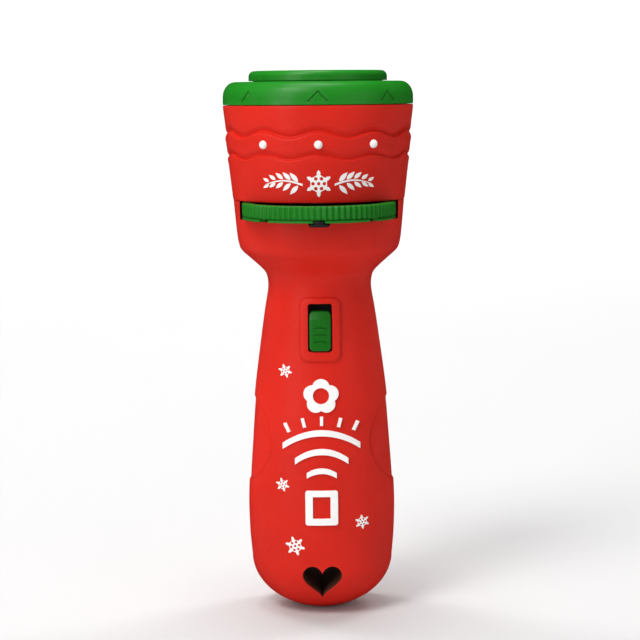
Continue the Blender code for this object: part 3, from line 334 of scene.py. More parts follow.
def cavity_point(angle, z):
    if z >= TAIL_HEIGHT:
        return case_point(angle, z, -WALL)
    start = 2.4
    below_shoulder = 1 - (z - start) / (TAIL_HEIGHT - start)
    radius = (TAIL_HALF_WIDTH - WALL) * math.sqrt(max(1 - below_shoulder**2, 0.02))
    return Vector((radius * math.cos(angle), radius * DEPTH_RATIOS[0][1] * math.sin(angle), z))


def case_surface_y(x, z):
    return half_depth(z) * math.sqrt(max(1 - (x / half_width(z)) ** 2, 0.0))


def case_front(x, z):
    """A point on the case's front and the way out of it."""
    step = 0.05
    point = Vector((x, -case_surface_y(x, z), z))
    across = Vector((x + step, -case_surface_y(x + step, z), z)) - point
    along = Vector((x, -case_surface_y(x, z + step), z + step)) - point
    return point, across.cross(along).normalized()


def drum_front(x, z):
    radii, heights = zip(*LOWER_TIER)
    radius = float(np.interp(z, heights, radii))
    y = -math.sqrt(radius**2 - x**2)
    return Vector((x, y, z)), Vector((x, y, -0.1 * radius)).normalized()


def around(radius, angle, centre=(0, 0)):
    return centre[0] + radius * math.cos(angle), centre[1] + radius * math.sin(angle)


def drop(obj):
    bpy.data.objects.remove(obj, do_unlink=True)


def in_scene(name, data):
    obj = bpy.data.objects.new(name, data)
    bpy.context.scene.collection.objects.link(obj)
    return obj


def shade(mesh, sharp_angle=SHARP_ANGLE):
    mesh.shade_smooth()
    mesh.set_sharp_from_angle(angle=math.radians(sharp_angle))


def mesh_object(name, bm, sharp_angle=SHARP_ANGLE):
    """Takes a bmesh in millimetres, faces it outward and puts it in the scene."""
    bmesh.ops.recalc_face_normals(bm, faces=bm.faces)
    if bm.calc_volume(signed=True) < 0:
        bmesh.ops.reverse_faces(bm, faces=bm.faces)
    bmesh.ops.scale(bm, vec=(MM, MM, MM), verts=bm.verts)
    mesh = bpy.data.meshes.new(name)
    bm.to_mesh(mesh)
    bm.free()
    shade(mesh, sharp_angle)
    return in_scene(name, mesh)


def loft(name, rings, caps=True, closed=False):
    """Skins rings of points, all of one length. The ends are capped, or meet where it is closed."""
    bm = bmesh.new()
    rows = [[bm.verts.new(point) for point in ring] for ring in rings]
    pairs = list(zip(rows, rows[1:])) + ([(rows[-1], rows[0])] if closed else [])
    for lower, upper in pairs:
        for k in range(len(lower)):
            after = (k + 1) % len(lower)
            bm.faces.new((lower[k], lower[after], upper[after], upper[k]))
    if caps and not closed:
        bm.faces.new(rows[0][::-1])
        bm.faces.new(rows[-1])
    return mesh_object(name, bm)


def angles(count):
    return [2 * math.pi * k / count for k in range(count)]


def turned(name, profile, segments=96, at=(0, 0, 0), shape=None):
    """A piece turned about the upright axis through at, from a profile of (radius, height).

    A profile that starts on the axis ends there too. Any other is closed. shape may move each point.
    """
    closed = profile[0][0] > 0
    rings = []
    for radius, z in profile:
        ring = []
        for angle in angles(segments):
            r, height = shape(radius, z, angle) if shape else (radius, z)
            ring.append(Vector((*around(r, angle, at), at[2] + height)))
        rings.append(ring)
    made = loft(name, rings, caps=False, closed=closed)
    if not closed:
        bm = bmesh.new()
        bm.from_mesh(made.data)
        bmesh.ops.remove_doubles(bm, verts=bm.verts, dist=0.0001 * MM)
        bmesh.ops.recalc_face_normals(bm, faces=bm.faces)
        bm.to_mesh(made.data)
        bm.free()
        shade(made.data)
    return made


def cylinder(name, radius, low, high, segments=24, matrix=None, at=(0, 0, 0)):
    bm = bmesh.new()
    bmesh.ops.create_cone(
        bm, cap_ends=True, segments=segments, radius1=radius, radius2=radius, depth=high - low
    )
    bmesh.ops.translate(bm, vec=(0, 0, (low + high) / 2), verts=bm.verts)
    if matrix:
        bmesh.ops.transform(bm, matrix=matrix, verts=bm.verts)
    bmesh.ops.translate(bm, vec=at, verts=bm.verts)
    return mesh_object(name, bm)


def along_y(name, radius, x, z, low, high, segments=24):
    return cylinder(name, radius, -high, -low, segments, Matrix.Rotation(QUARTER, 4, "X"), (x, 0, z))


def radial(name, radius, low, high, angle, z):
    turn = Matrix.Rotation(angle, 4, "Z") @ Matrix.Rotation(QUARTER, 4, "Y")
    return cylinder(name, radius, low, high, 16, turn, (0, 0, z))


def box(name, low, high, matrix=None, round_by=0.0):
    bm = bmesh.new()
    bmesh.ops.create_cube(bm, size=1)
    bmesh.ops.scale(bm, vec=Vector(high) - Vector(low), verts=bm.verts)
    bmesh.ops.translate(bm, vec=(Vector(low) + Vector(high)) / 2, verts=bm.verts)
    if round_by:
        bmesh.ops.bevel(bm, geom=bm.edges[:], offset=round_by, segments=3, profile=0.5, affect="EDGES")
    if matrix:
        bmesh.ops.transform(bm, matrix=matrix, verts=bm.verts)
    return mesh_object(name, bm)


def combined(name, pieces):
    bm = bmesh.new()
    for part in pieces:
        bm.from_mesh(part.data)
        drop(part)
    mesh = bpy.data.meshes.new(name)
    bm.to_mesh(mesh)
    bm.free()
    return in_scene(name, mesh)


def copied(obj, name):
    return in_scene(name, obj.data.copy())


def evaluated_mesh(obj):
    bpy.context.view_layer.update()
    return bpy.data.meshes.new_from_object(obj.evaluated_get(bpy.context.evaluated_depsgraph_get()))


def carve(obj, *steps):
    """Applies Boolean steps (operation, other) in turn, then drops each other that kept() hasn't marked."""
    for operation, other in steps:
        step = obj.modifiers.new(other.name, "BOOLEAN")
        step.operation = operation
        step.object = other
        step.solver = "EXACT"
        step.use_self = other.get("overlaps", False)
    mesh = evaluated_mesh(obj)
    obj.modifiers.clear()
    obj.data = mesh
    for other in {other for _, other in steps}:
        if not other.get("keep"):
            drop(other)
    shade(mesh)
    return obj


def less(*others):
    """The steps that cut each of these away."""
    return [("DIFFERENCE", other) for other in others]


def kept(obj):
    obj["keep"] = True
    return obj


def overlapping(obj):
    """Marks a cutter whose own pieces cross each other."""
    obj["overlaps"] = True
    return obj


def curve_mesh(name, loops, closed, **settings):
    """The bmesh of a curve with these loops of points and settings."""
    curve = bpy.data.curves.new(name, "CURVE")
    for setting, value in settings.items():
        setattr(curve, setting, value)
    for loop in loops:
        spline = curve.splines.new("POLY")
        spline.points.add(len(loop) - 1)
        for point, at in zip(spline.points, loop):
            point.co = (*at, 1)
        spline.use_cyclic_u = closed
    holder = in_scene(name, curve)
    mesh = evaluated_mesh(holder)
    drop(holder)
    bm = bmesh.new()
    bm.from_mesh(mesh)
    bmesh.ops.remove_doubles(bm, verts=bm.verts, dist=0.0005)
    return bm


def flat_mesh(loops, low, high, rounding=0.0):
    """Closed outlines in (x, z), filled and given a thickness, as a bmesh of (x, z, thickness)."""
    bm = curve_mesh(
        "outline", [[(x, z, 0) for x, z in loop] for loop in loops], True, dimensions="2D", fill_mode="BOTH",
        extrude=(high - low) / 2 - rounding, bevel_depth=rounding, bevel_resolution=2, offset=-rounding,
    )
    bmesh.ops.translate(bm, vec=(0, 0, (low + high) / 2), verts=bm.verts)
    return bm


def prism_y(name, loops, low, high):
    """Outlines in XZ, given a thickness along Y."""
    bm = flat_mesh(loops, -high, -low)
    bmesh.ops.transform(bm, matrix=Matrix.Rotation(QUARTER, 4, "X"), verts=bm.verts)
    return mesh_object(name, bm)


def sliced(bm, way, at):
    """Cuts the mesh across where it meets the plane, and keeps both sides."""
    geometry = bm.verts[:] + bm.edges[:] + bm.faces[:]
    bmesh.ops.bisect_plane(bm, geom=geometry, dist=0.00001, plane_co=Vector(way) * at, plane_no=way)


def raised(name, loops, low, high, skin, rounding, spacing=0.8, creases=()):
    """Outlines laid on a curved skin. low and high are measured out from it."""
    bm = flat_mesh(loops, low, high, rounding)
    xs = [vertex.co.x for vertex in bm.verts]
    for k in range(math.floor(min(xs) / spacing), math.ceil(max(xs) / spacing)):
        sliced(bm, (1, 0, 0), (k + 0.5) * spacing)
    for z in creases:
        sliced(bm, (0, 1, 0), z)
    for vertex in bm.verts:
        x, z, out = vertex.co
        point, away = skin(x, z)
        vertex.co = point + away * out
    return mesh_object(name, bm, 40)


def arc(centre, radius, start, end, steps):
    turns = [math.radians(start + (end - start) * k / steps) for k in range(steps + 1)]
    return [around(radius, turn, centre) for turn in turns]


def circle(centre, radius, steps=24):
    return arc(centre, radius, 0, 360 * (steps - 1) / steps, steps - 1)


def rounded_rectangle(half, low, high, radius, steps=6, edge_steps=12):
    """The outline from its upper right corner, with the same count of points at any size."""
    corners = ((half, high, 0), (-half, high, 90), (-half, low, 180), (half, low, 270))
    arcs = []
    for x, z, start in corners:
        centre = (x - math.copysign(radius, x), z - radius if z == high else z + radius)
        arcs.append(arc(centre, radius, start, start + 90, steps))
    outline = []
    for k, corner in enumerate(arcs):
        after = arcs[(k + 1) % 4][0]
        outline += corner
        for step in range(1, edge_steps):
            part = step / edge_steps
            outline.append(tuple(a + (b - a) * part for a, b in zip(corner[-1], after)))
    return outline


def heart(grow=0.0):
    outline, steps = [], 64
    half, height = HEART_WIDTH / 2 + grow, HEART_TOP - HEART_BOTTOM + 2 * grow
    for k in range(steps):
        t = 2 * math.pi * (k + 0.5) / steps
        up = (13 * math.cos(t) - 5 * math.cos(2 * t) - 2 * math.cos(3 * t) - math.cos(4 * t) + 17) / 29
        outline.append((half * math.sin(t) ** 3, HEART_BOTTOM - grow + height * up))
    return outline


def tube(name, points, radius, sides):
    settings = {"bevel_depth": radius, "bevel_resolution": sides, "use_fill_caps": True}
    return mesh_object(name, curve_mesh(name, [points], False, dimensions="3D", **settings))


def piece(obj, body, slot, replaced=(), look=None):
    obj.data.materials.clear()
    obj.data.materials.append(look or looks[slot])
    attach(obj, body)
    if replaced:
        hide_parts(*replaced)
    return obj


# ---------------- case


def case_levels():
    """The heights of the case's rings of points, closest together at the tail, neck and rim."""
    tail = [TAIL_HEIGHT * (1 - math.cos(QUARTER * k / 20)) for k in range(20)]
    handle = list(np.arange(TAIL_HEIGHT, 112.0, 1.7))
    neck = list(np.arange(112.0, 131.0, 0.6))
    bowl = list(np.arange(131.0, CASE_TOP - RIM_ROUND, 1.2))
    rim = [CASE_TOP - RIM_ROUND * (1 - math.sin(QUARTER * k / 4)) for k in range(5)]
    return tail + handle + neck + bowl + rim


def rounded_case(name, grow=0.0, segments=72):
    return loft(name, [[case_point(angle, z, grow) for angle in angles(segments)] for z in case_levels()])


def slab(name, low_y, high_y):
    """A block between two depths, past the case on its other sides."""
    return box(name, (-40, low_y, -5), (40, high_y, CASE_TOP + 5))


def grip_cutter(side):
    """The shallow oval recess on one side, with a sloped edge and a fine groove at its foot.

    Its rows are (share of its width, height above the case).
    """
    floor = [(k / 14, -GRIP_DEPTH) for k in range(1, 14)]
    foot = [(0.955, -0.02), (0.975, -0.2), (0.995, -0.28), (1.005, -0.2)]
    edge = [(1.014, -0.05), (1.018, 0.1), (1.03, 0.6), (1.03, 1.6)]
    lid = [(k / 6, 1.6) for k in range(5, 0, -1)]
    rings = []
    for share, grow in floor + [(share, sink - GRIP_DEPTH) for share, sink in foot] + edge + lid:
        ring = []
        for angle in angles(120):
            z = GRIP_CENTRE_Z + GRIP_HALF_HEIGHT * share * math.sin(angle)
            turn = GRIP_HALF_ARC * share * math.cos(angle) / half_width(z)
            ring.append(case_point(turn if side > 0 else math.pi - turn, z, grow))
        rings.append(ring)
    return loft("grip_recess", rings)


def case_hollows():
    """The spaces inside the handle and the bowl, and the picture wheel's slot."""
    levels = [3.2, 4.0, 5.0, 6.5, 8.0, 10.0, 12.5, 15.5] + list(np.arange(18.5, 112.0, 4.0)) + [112.6]
    handle = loft("handle_cavity", [[cavity_point(angle, z) for angle in angles(72)] for z in levels])
    bowl = turned(
        "bowl_cavity",
        (
            (0, CASE_TOP + 2), (WHEEL_CAVITY_RADIUS, CASE_TOP + 2), (WHEEL_CAVITY_RADIUS, 135.7),
            (25.0, 135.7), (25.0, 134.4), (26.3, 134.4), (26.3, 131.7), (24.4, 131.7), (24.4, 125.6),
            (16.0, 118.2), (16.0, BOARD_LEDGE_Z), (NECK_CAVITY_RADIUS, BOARD_LEDGE_Z),
            (NECK_CAVITY_RADIUS, 111), (0, 111),
        ),
        72,
    )
    wheel = cylinder("wheel_slot", WHEEL_CAVITY_RADIUS, SLOT_BOTTOM, CASE_TOP + 3, 144, at=(0, WHEEL_Y, 0))
    return kept(handle), kept(bowl), kept(wheel)


def screw_places():
    return [(side * x, z) for x, z in CASE_SCREWS for side in (-1, 1)]


def pad_ring():
    """The raised surround of the switch, through the wall, with a soft outer edge and the window in it.

    The profile is (share of the way in to the window, height above the case).
    """
    outer = rounded_rectangle(*PAD)
    inner = rounded_rectangle(*WINDOW)
    profile = (
        (0.0, -1.4), (0.0, 0.1), (0.05, 0.38), (0.12, 0.64), (0.20, 0.84),
        *((share, PAD_RISE) for share in (0.30, 0.5, 0.7, 0.9)),
        (0.955, 0.92), (0.985, 0.84), (1.0, 0.7), (1.0, -0.7), (1.0, -2.0), (0.5, -1.9),
    )
    rings = []
    for share, out in profile:
        ring = []
        for (ox, oz), (ix, iz) in zip(outer, inner):
            x, z = ox + (ix - ox) * share, oz + (iz - oz) * share
            point, away = case_front(x, z)
            ring.append(point + away.lerp(Vector((0, -1, 0)), share) * out)
        rings.append(ring)
    return loft("switch_surround", rings, closed=True)


def heart_tunnel():
    wall = prism_y("heart_wall", [heart(HEART_WALL)], -24, 24)
    return kept(carve(wall, ("INTERSECT", rounded_case("heart_limit", INSIDE))))


def make_front(shell, limit):
    """The front shell, with the switch's window and posts, two inner ribs and the spring's opening."""
    posts = [along_y("post", FRONT_POST, x, z, -case_surface_y(abs(x), z) - 2, 5) for x, z in screw_places()]
    holes = [along_y("hole", FRONT_HOLE, x, z, -7, 5) for x, z in screw_places()]
    for x in (-SWITCH_SCREW_X, SWITCH_SCREW_X):
        low, high = -half_depth(SWITCH_SCREW_Z), EAR_FRONT_Y - GAP
        posts.append(along_y("post", SWITCH_POST, x, SWITCH_SCREW_Z, low, high))
        holes.append(along_y("hole", SWITCH_HOLE, x, SWITCH_SCREW_Z, -14, -8))
    for x in (-8.0, 8.0):
        posts.append(box("rib", (x - 0.7, -22, 34), (x + 0.7, -1.2, 72)))
    holes.append(box("spring_gate", (-3.4, -32, 134.5), (3.4, -22, 150)))
    posts = carve(combined("front_posts", posts), ("INTERSECT", limit))
    half, low, high, corner = WINDOW
    window = prism_y("window", [rounded_rectangle(half + 0.7, low - 0.67, high + 0.57, corner)], -24, -12)
    rear_half = slab("rear_half", MEET_Y[0], 45)
    shell("case_front", "front_shell", [window], posts, rear_half, [combined("front_holes", holes)])


def make_rear(shell, limit):
    """The rear shell, with the battery opening and sunk screw holes."""
    posts, holes = [], []
    for x, z in screw_places():
        posts.append(along_y("post", REAR_POST, x, z, -5, case_surface_y(abs(x), z) + 3))
        holes.append(along_y("hole", REAR_HOLE, x, z, -1, 9))
        holes.append(along_y("sink", REAR_SINK, x, z, 5.0, 32, 32))
    posts = carve(combined("rear_posts", posts), ("INTERSECT", limit))
    half, low, high = DOOR
    opening = prism_y("door_opening", [rounded_rectangle(half + GAP, low - GAP, high + GAP, 1.2)], 8, 30)
    front_half, holes = slab("front_half", -45, MEET_Y[1]), overlapping(combined("rear_holes", holes))
    shell("case_rear", "rear_shell", [], posts, front_half, [opening, holes])


def make_door(whole, limit, handle):
    """The battery cover, cut from the same rounded case as the shells."""
    posts, holes = [], []
    for z in DOOR_SCREW_ZS:
        face = case_surface_y(0, z) - DOOR_SCREW_INSET
        posts.append(along_y("door_post", DOOR_POST, 0, z, 12.8, 24))
        holes.append(along_y("hole", REAR_HOLE, 0, z, 10, face))
        holes.append(along_y("sink", DOOR_SINK, 0, z, face - 1.8, 30, 32))
    posts = carve(combined("door_posts", posts), ("INTERSECT", limit))
    door = carve(
        copied(whole, "battery_cover"),
        *less(handle),
        ("INTERSECT", prism_y("door_limit", [rounded_rectangle(*DOOR, 1.0)], 8, 30)),
        ("UNION", posts),
        *less(overlapping(combined("door_holes", holes))),
    )
    piece(door, "battery_door", "red_door", ("battery_door",))


def make_shells(hollows, wall):
    """Both shells, the dark sleeve in the heart-shaped hole (painted shade for its inside), the switch
    surround and the battery cover.
    """
    handle, bowl, wheel = hollows
    heart_hole = kept(prism_y("heart_hole", [heart(SHADE_SLEEVE)], -30, 30))
    whole = rounded_case("whole_case", 0.0, CASE_SEGMENTS)
    kept(carve(whole, *less(grip_cutter(1), grip_cutter(-1))))
    limit = kept(rounded_case("post_limit", INSIDE))
    groove = kept(carve(slab("seam_groove", *SEAM_Y), *less(limit)))

    def shell(name, node, early, posts, other_half, late):
        """Cuts early, joins the posts and the wall round the heart, and then cuts late."""
        added = ("UNION", posts), ("UNION", wall)
        cuts = less(other_half, groove, wheel, *late, heart_hole)
        made = carve(copied(whole, name), *less(handle, bowl, *early), *added, *cuts)
        piece(made, "housing", "red_case", (node,))

    make_front(shell, limit)
    # A dark sleeve inside the heart-shaped hole, set 1.1 mm back from the surface: painted shade for the
    # hole's inside.
    sleeve = prism_y("hole_shade_sleeve", [heart(SHADE_SLEEVE - 0.02), heart()], -24, 24)
    carve(sleeve, ("INTERSECT", rounded_case("shade_sleeve_limit", -1.1)))
    piece(sleeve, "housing", "black_plastic", look=painted_shade_lining)
    piece(pad_ring(), "housing", "red_case")
    make_rear(shell, limit)
    make_door(whole, limit, handle)
    for used in (whole, limit, groove, heart_hole, wall, *hollows):
        drop(used)


def make_screw(name, head, size, body, node):
    """A pan-head screw along Y, its cross slot cut in the head. size is (length, head radius)."""
    length, radius = size
    under, shank, point = 1.6, 1.0, 0.9
    profile = (
        (0, 0), (radius * 0.45, -0.02), (radius * 0.75, -0.12), (radius * 0.93, -0.35), (radius, -0.75),
        (radius, -1.5), (radius * 0.96, -under), (shank, -under), (shank, point - length), (0, -length),
    )
    screw = turned(name, profile, 40)
    arm, half, deep = radius * 0.62, 0.24, 0.75
    cross = [box("cross", (-x, -y, -deep), (x, y, 0.5)) for x, y in ((arm, half), (half, arm))]
    carve(screw, *less(overlapping(combined("cross_slot", cross))))
    screw.data.transform(Matrix.Translation(Vector(head) * MM) @ Matrix.Rotation(-QUARTER, 4, "X"))
    piece(screw, body, "steel", (node,))


# ---------------- head


def waved(radius, z, angle):
    """Carries the two groove lines up and down in waves. The lines lie in the outer wall only."""
    swing = 0.0
    if radius >= WAVED_RADIUS:
        swing = sum(most * math.exp(-(((z - height) / reach) ** 4)) for height, reach, most in GROOVES)
    return radius, z + swing * math.cos(WAVES * (angle + QUARTER))


def make_drum():
    """The drum's tiers with waved grooves between them, its floor, and the lip inside the ring."""
    outer = (
        (31.7, DRUM_TOP), (32.0, 173.57), (32.14, 173.48), (32.2, 173.3), (32.12, 172.3), (31.95, 170.8),
        (31.7, 168.9), (31.5, 167.3), (31.38, 166.5), (31.2, 165.95), (30.85, 165.4), (30.5, 164.95),
        (30.34, 164.65), (30.36, 164.35), (30.6, 164.1), (31.05, 163.92), (31.4, 163.72), (31.5, 163.45),
        (31.49, 163.0), (31.4, 162.2), (31.24, 160.9), (31.08, 159.6), (30.95, 158.8), (30.75, 158.3),
        (30.4, 157.8), (30.1, 157.4), (29.98, 157.15), (30.0, 156.92), (30.25, 156.75), (30.6, 156.6),
        (30.78, 156.38), (30.77, 156.1), (30.7, 155.3), *LOWER_TIER[::-1], (29.15, 142.2), (29.0, 142.03),
        (28.8, 141.98), (28.0, 141.98), (27.8, SLOT_TOP),
    )
    inner = (
        (9.0, SLOT_TOP), (9.0, FLOOR_TOP), (27.0, FLOOR_TOP), (28.4, 158.0), (29.5, 166.0), (29.5, 170.1),
        (LIP_RADII[0], 170.1), (LIP_RADII[0], LIP_TOP), (LIP_RADII[1], LIP_TOP), (LIP_RADII[1], DRUM_TOP),
    )
    drum = turned("drum_wall", outer + inner, 300, shape=waved)
    x, y = COLUMN_AT
    places = ((DRUM_HOLE, -x, y), (DRUM_HOLE, x, y), (AXLE_RADIUS + GAP, 0, WHEEL_Y))
    holes = [cylinder("hole", radius, 140, 146, at=(*place, 0)) for radius, *place in places]
    carve(drum, *less(combined("drum_holes", holes)))
    piece(drum, "housing", "red_drum", ("head_drum",))


def make_wheel():
    """The picture wheel: ribs round its band, and a notch and a window for each picture."""

    def ribbed(radius, z, angle):
        if BAND_BOTTOM < z < WHEEL_TOP and radius > WHEEL_RADIUS - 0.6:
            radius -= RIB_DEPTH * (0.5 - 0.5 * math.cos(RIBS * angle)) ** 1.2
        return radius, z

    profile = (
        (4.6, WHEEL_TOP), (4.4, 141.4), (4.4, 139.4), (23.0, 139.4), (23.0, WHEEL_TOP),
        (24.7, WHEEL_TOP), (25.1, 141.59), (25.35, 141.5), (25.52, 141.3), (25.6, 141.0), (25.6, 139.5),
        (25.6, 137.9), (25.52, 137.4), (25.3, 137.15), (24.7, 137.05), (24.7, 136.85), (25.3, 136.82),
        (25.55, 136.7), (25.6, 136.5), (25.55, 136.22), (25.35, WHEEL_BOTTOM), (22.7, WHEEL_BOTTOM),
        (22.7, 138.0), (4.4, 138.0), (4.4, WHEEL_BOTTOM), (AXLE_RADIUS + GAP, WHEEL_BOTTOM),
        (AXLE_RADIUS + GAP, WHEEL_TOP),
    )
    wheel = turned("picture_wheel", profile, RIBS * 8, (0, WHEEL_Y, 0), ribbed)
    cutters = []
    about = Matrix.Translation((0, WHEEL_Y, 0))
    half = NOTCH_WIDTH / 2
    for angle in angles(PICTURES):
        turn = about @ Matrix.Rotation(angle, 4, "Z")
        cutters.append(box("notch", (-half, -30, 135), (half, NOTCH_DEPTH - WHEEL_RADIUS, 136.95), turn))
        at = (*around(-WHEEL_Y, angle + QUARTER, (0, WHEEL_Y)), 0)
        cutters.append(cylinder("window", 4.6, 137, 140.5, 48, at=at))
    carve(wheel, *less(combined("wheel_cuts", cutters)))
    piece(wheel, "slide_wheel", "green_wheel", ("slide_wheel",))


def shoulder_point(angle, part, grow=0.0):
    """A point on the focus ring's outside. part runs from its top edge, 0, to the straight skirt, 1."""
    lean = QUARTER * part
    radius = RING_RADIUS - SHOULDER[0] + (SHOULDER[0] + grow) * math.sin(lean)
    height = RING_TOP - SHOULDER[1] + (SHOULDER[1] + grow) * math.cos(lean)
    return Vector((*around(radius, angle), height))


def ring_surface(angle, z, grow=0.0):
    up = z - (RING_TOP - SHOULDER[1])
    if up <= 0:
        return Vector((*around(RING_RADIUS + grow, angle), z))
    return shoulder_point(angle, math.acos(min(up / SHOULDER[1], 1.0)) / QUARTER, grow)


def helix_slots():
    """One slot in the ring's sleeve for each pin of the barrel, a little longer than the pin's travel."""
    slots = []
    middle, steps, spare, half_slot = sum(SLEEVE_RADII) / 2, 24, 0.05, 1.85
    for pin in angles(PINS):
        points = []
        for step in range(steps + 1):
            part = -spare + (1 + 2 * spare) * step / steps
            angle = pin + QUARTER - math.radians(FOCUS_TURN) * part
            points.append((*around(middle, angle), PIN_Z + PIN_TRAVEL * part))
        slots.append(tube("helix", points, half_slot, 3))
    return slots


def make_focus_ring():
    """The ring's skirt and sleeve in one, with chevron lines and the pins' slots."""
    shoulder = [shoulder_point(0, k / 20) for k in range(21)]
    inner, outer = SLEEVE_RADII
    bore = BARREL_RADIUS + 0.5
    profile = (
        *((p.x, p.z) for p in shoulder), (RING_RADIUS, 175.2), (RING_RADIUS, 173.9), (32.14, 173.82),
        (31.9, RING_BOTTOM), (30.4, RING_BOTTOM), (30.4, 178.8), (28.4, 178.8), (28.4, 169.9), (29.1, 169.6),
        (29.1, 168.4), (28.4, 167.6), (outer, 167.6), (outer, 156.5), (inner, 156.5), (inner, 179.2),
        (bore, 179.2), (bore, 181.2), (bore + 0.2, RING_TOP),
    )
    ring = turned("focus_grip", profile, 240)
    # A slight turn keeps the mesh's edges off those of the cutters
    ring.data.transform(Matrix.Rotation(math.radians(0.4), 4, "Z"))
    marks = []
    peak, fall, half_mark, half_line = 178.1, 2.9, 2.85, 0.34
    for turn in angles(8):
        points = []
        for step in range(-13, 14):
            share = abs(step) / 12
            angle = turn - QUARTER + math.copysign(share, step) * half_mark / RING_RADIUS
            points.append(ring_surface(angle, peak - fall * share, -0.1))
        marks.append(tube("mark", points, half_line, 3))
    carve(ring, *less(overlapping(combined("chevrons", marks)), combined("slots", helix_slots())))
    piece(ring, "focus_ring", "green_ring", ("focus_ring",))


def make_barrel():
    """The lens barrel, with holes for its pins, and the domed lens."""
    corner = arc((21.5, BARREL_TOP - 1.9), 1.9, 90, 0, 10)
    profile = (
        *corner, (FLANGE_RADIUS, 181.75), (23.3, 181.65), (BARREL_RADIUS, 181.65),
        (BARREL_RADIUS, 153.0), (20.1, 153.0), (20.1, 171.8), (18.2, 171.8), (18.2, 173.0), (20.1, 173.0),
        (20.1, 184.7), (20.18, 184.92), (20.4, BARREL_TOP),
    )
    barrel = turned("lens_tube", profile, 180)
    holes = [radial("hole", PIN_RADIUS + GAP, 18, 24, pin + QUARTER, PIN_Z) for pin in angles(PINS)]
    carve(barrel, *less(combined("barrel_holes", holes)))
    piece(barrel, "lens_barrel", "green_barrel", ("lens_barrel",))
    rim, low, high, bulge, steps = 19.2, 173.4, 175.2, 5.2, 28
    dome = [(rim * k / steps, high + bulge * (1 - (k / steps) ** 2)) for k in range(steps + 1)]
    lens = turned("front_lens", (*dome, (rim, low + 0.2), (rim - 0.2, low), (0, low)), 144)
    piece(lens, "lens_barrel", "clear_lens", ("projection_lens",))


# ---------------- switch


def make_button():
    """The thumb slide: its face follows the case, leans back above a crease, and has three bowed grooves."""
    half, low, high, corner = BUTTON
    crease, lean, edge = high - 2.65, 0.7, 0.4
    half_groove, bow, groove_radius = 2.05, 0.28, 0.36

    def skin(x, z):
        point, _ = case_front(x, z)
        point.y += lean * max(z - crease, 0.0)
        return point, Vector((0, -1, 0))

    levels = [*np.arange(low + 1.1, crease, 1.1), crease, crease + 1.3]
    outline = rounded_rectangle(half, low, high, corner, 8, 10)
    button = raised("thumb_slide", [outline], -8.0, BUTTON_RISE, skin, edge, 0.6, levels)
    grooves = []
    for z in BUTTON_RIBS:
        points = []
        for step in range(-9, 10, 2):
            share = step / 9
            point, away = skin(half_groove * share, z + bow * (1 - share**2))
            points.append(point + away * BUTTON_RISE)
        grooves.append(tube("groove", points, groove_radius, 2))
    behind = box("behind", (-2 * half, BUTTON_BACK_Y, low - 5), (2 * half, 0, high + 5))
    carve(button, *less(behind, combined("grooves", grooves)))
    piece(button, "switch_slider", "green_button", ("switch_slider",))


def make_spring_leaf():
    """The flat spring under the wheel, whose nose shows in the gap below the rim."""
    tip = WHEEL_Y - WHEEL_RADIUS + 0.1
    leaf = box("spring_leaf", (-3.0, tip, 134.9), (3.0, -20.6, 135.75), round_by=0.12)
    half = NOTCH_WIDTH / 2 - GAP
    nose = box("nose", (-half, tip + 0.02, 135.4), (half, tip + 1.1, 136.75), round_by=0.1)
    carve(leaf, ("UNION", nose))
    piece(leaf, "housing", "black_plastic", ("detent_spring",))


# ---------------- raised white marks


def strip_arc(half, bottom, top, thickness, middle):
    """A bowed bar with upright ends, from the bottom of its ends to the top of its crown."""
    steps = 36
    upper, lower = [], []
    for k in range(steps + 1):
        x = half * (2 * k / steps - 1)
        bow = (x / half) ** 2 * (0.94 + 0.06 * (x / half) ** 2)
        upper.append((middle + x, top - (top - bottom - thickness) * bow))
        lower.append((middle + x, top - thickness - (top - bottom - thickness) * bow))
    return upper + lower[::-1]


def bar(start, end):
    first, second, width = Vector(start), Vector(end), 1.05
    side = (second - first).normalized().orthogonal() * width / 2
    return [tuple(corner) for corner in (first - side, second - side, second + side, first + side)]


def flower(centre):
    """The outline of five round petals, one of them up."""
    petals, petal_radius, reach = 5, 2.9, 3.05
    outline = []
    span = 2 * math.pi / petals
    meet = reach * math.sin(span / 2)
    open_angle = math.pi - math.acos(min(meet / petal_radius, 1.0)) - (QUARTER - span / 2)
    for k in range(petals):
        middle = QUARTER + k * span
        hub = around(reach, middle, centre)
        for step in range(13):
            outline.append(around(petal_radius, middle - open_angle + 2 * open_angle * step / 12, hub))
    return outline


def snowflake(centre, radius, turn=0.0):
    """A six-pointed crystal with blunt tips, pierced at its middle and once between each two arms."""
    outline, holes = [], []
    half_arm = ((0.67, 0.16), (0.78, 0.19), (0.92, 0.09))  # share of the radius, angle from the arm

    def at(share, angle):
        return around(radius * share, angle, centre)

    for k in range(6):
        angle = QUARTER + turn + k * math.pi / 3
        outline.append(at(0.60, angle - math.pi / 6))
        outline += [at(share, angle - lean) for share, lean in half_arm] + [at(1.0, angle)]
        outline += [at(share, angle + lean) for share, lean in half_arm[::-1]]
        holes.append(circle(at(0.42, angle + math.pi / 6), 0.135 * radius, 12))
    holes.append(circle(centre, 0.13 * radius, 12))
    return [outline, *holes]


def leaf(base, direction, length, width):
    """A pointed oval, widest nearer its base."""
    steps = 10
    along = Vector((math.cos(direction), math.sin(direction)))
    side = Vector((-along.y, along.x))
    points = []
    for sign in (1, -1):
        for k in range(steps):
            part = k / steps if sign > 0 else 1 - k / steps
            swell = math.sin(math.pi * part**0.85) * width / 2
            points.append(tuple(Vector(base) + along * length * part + side * sign * swell))
    return points


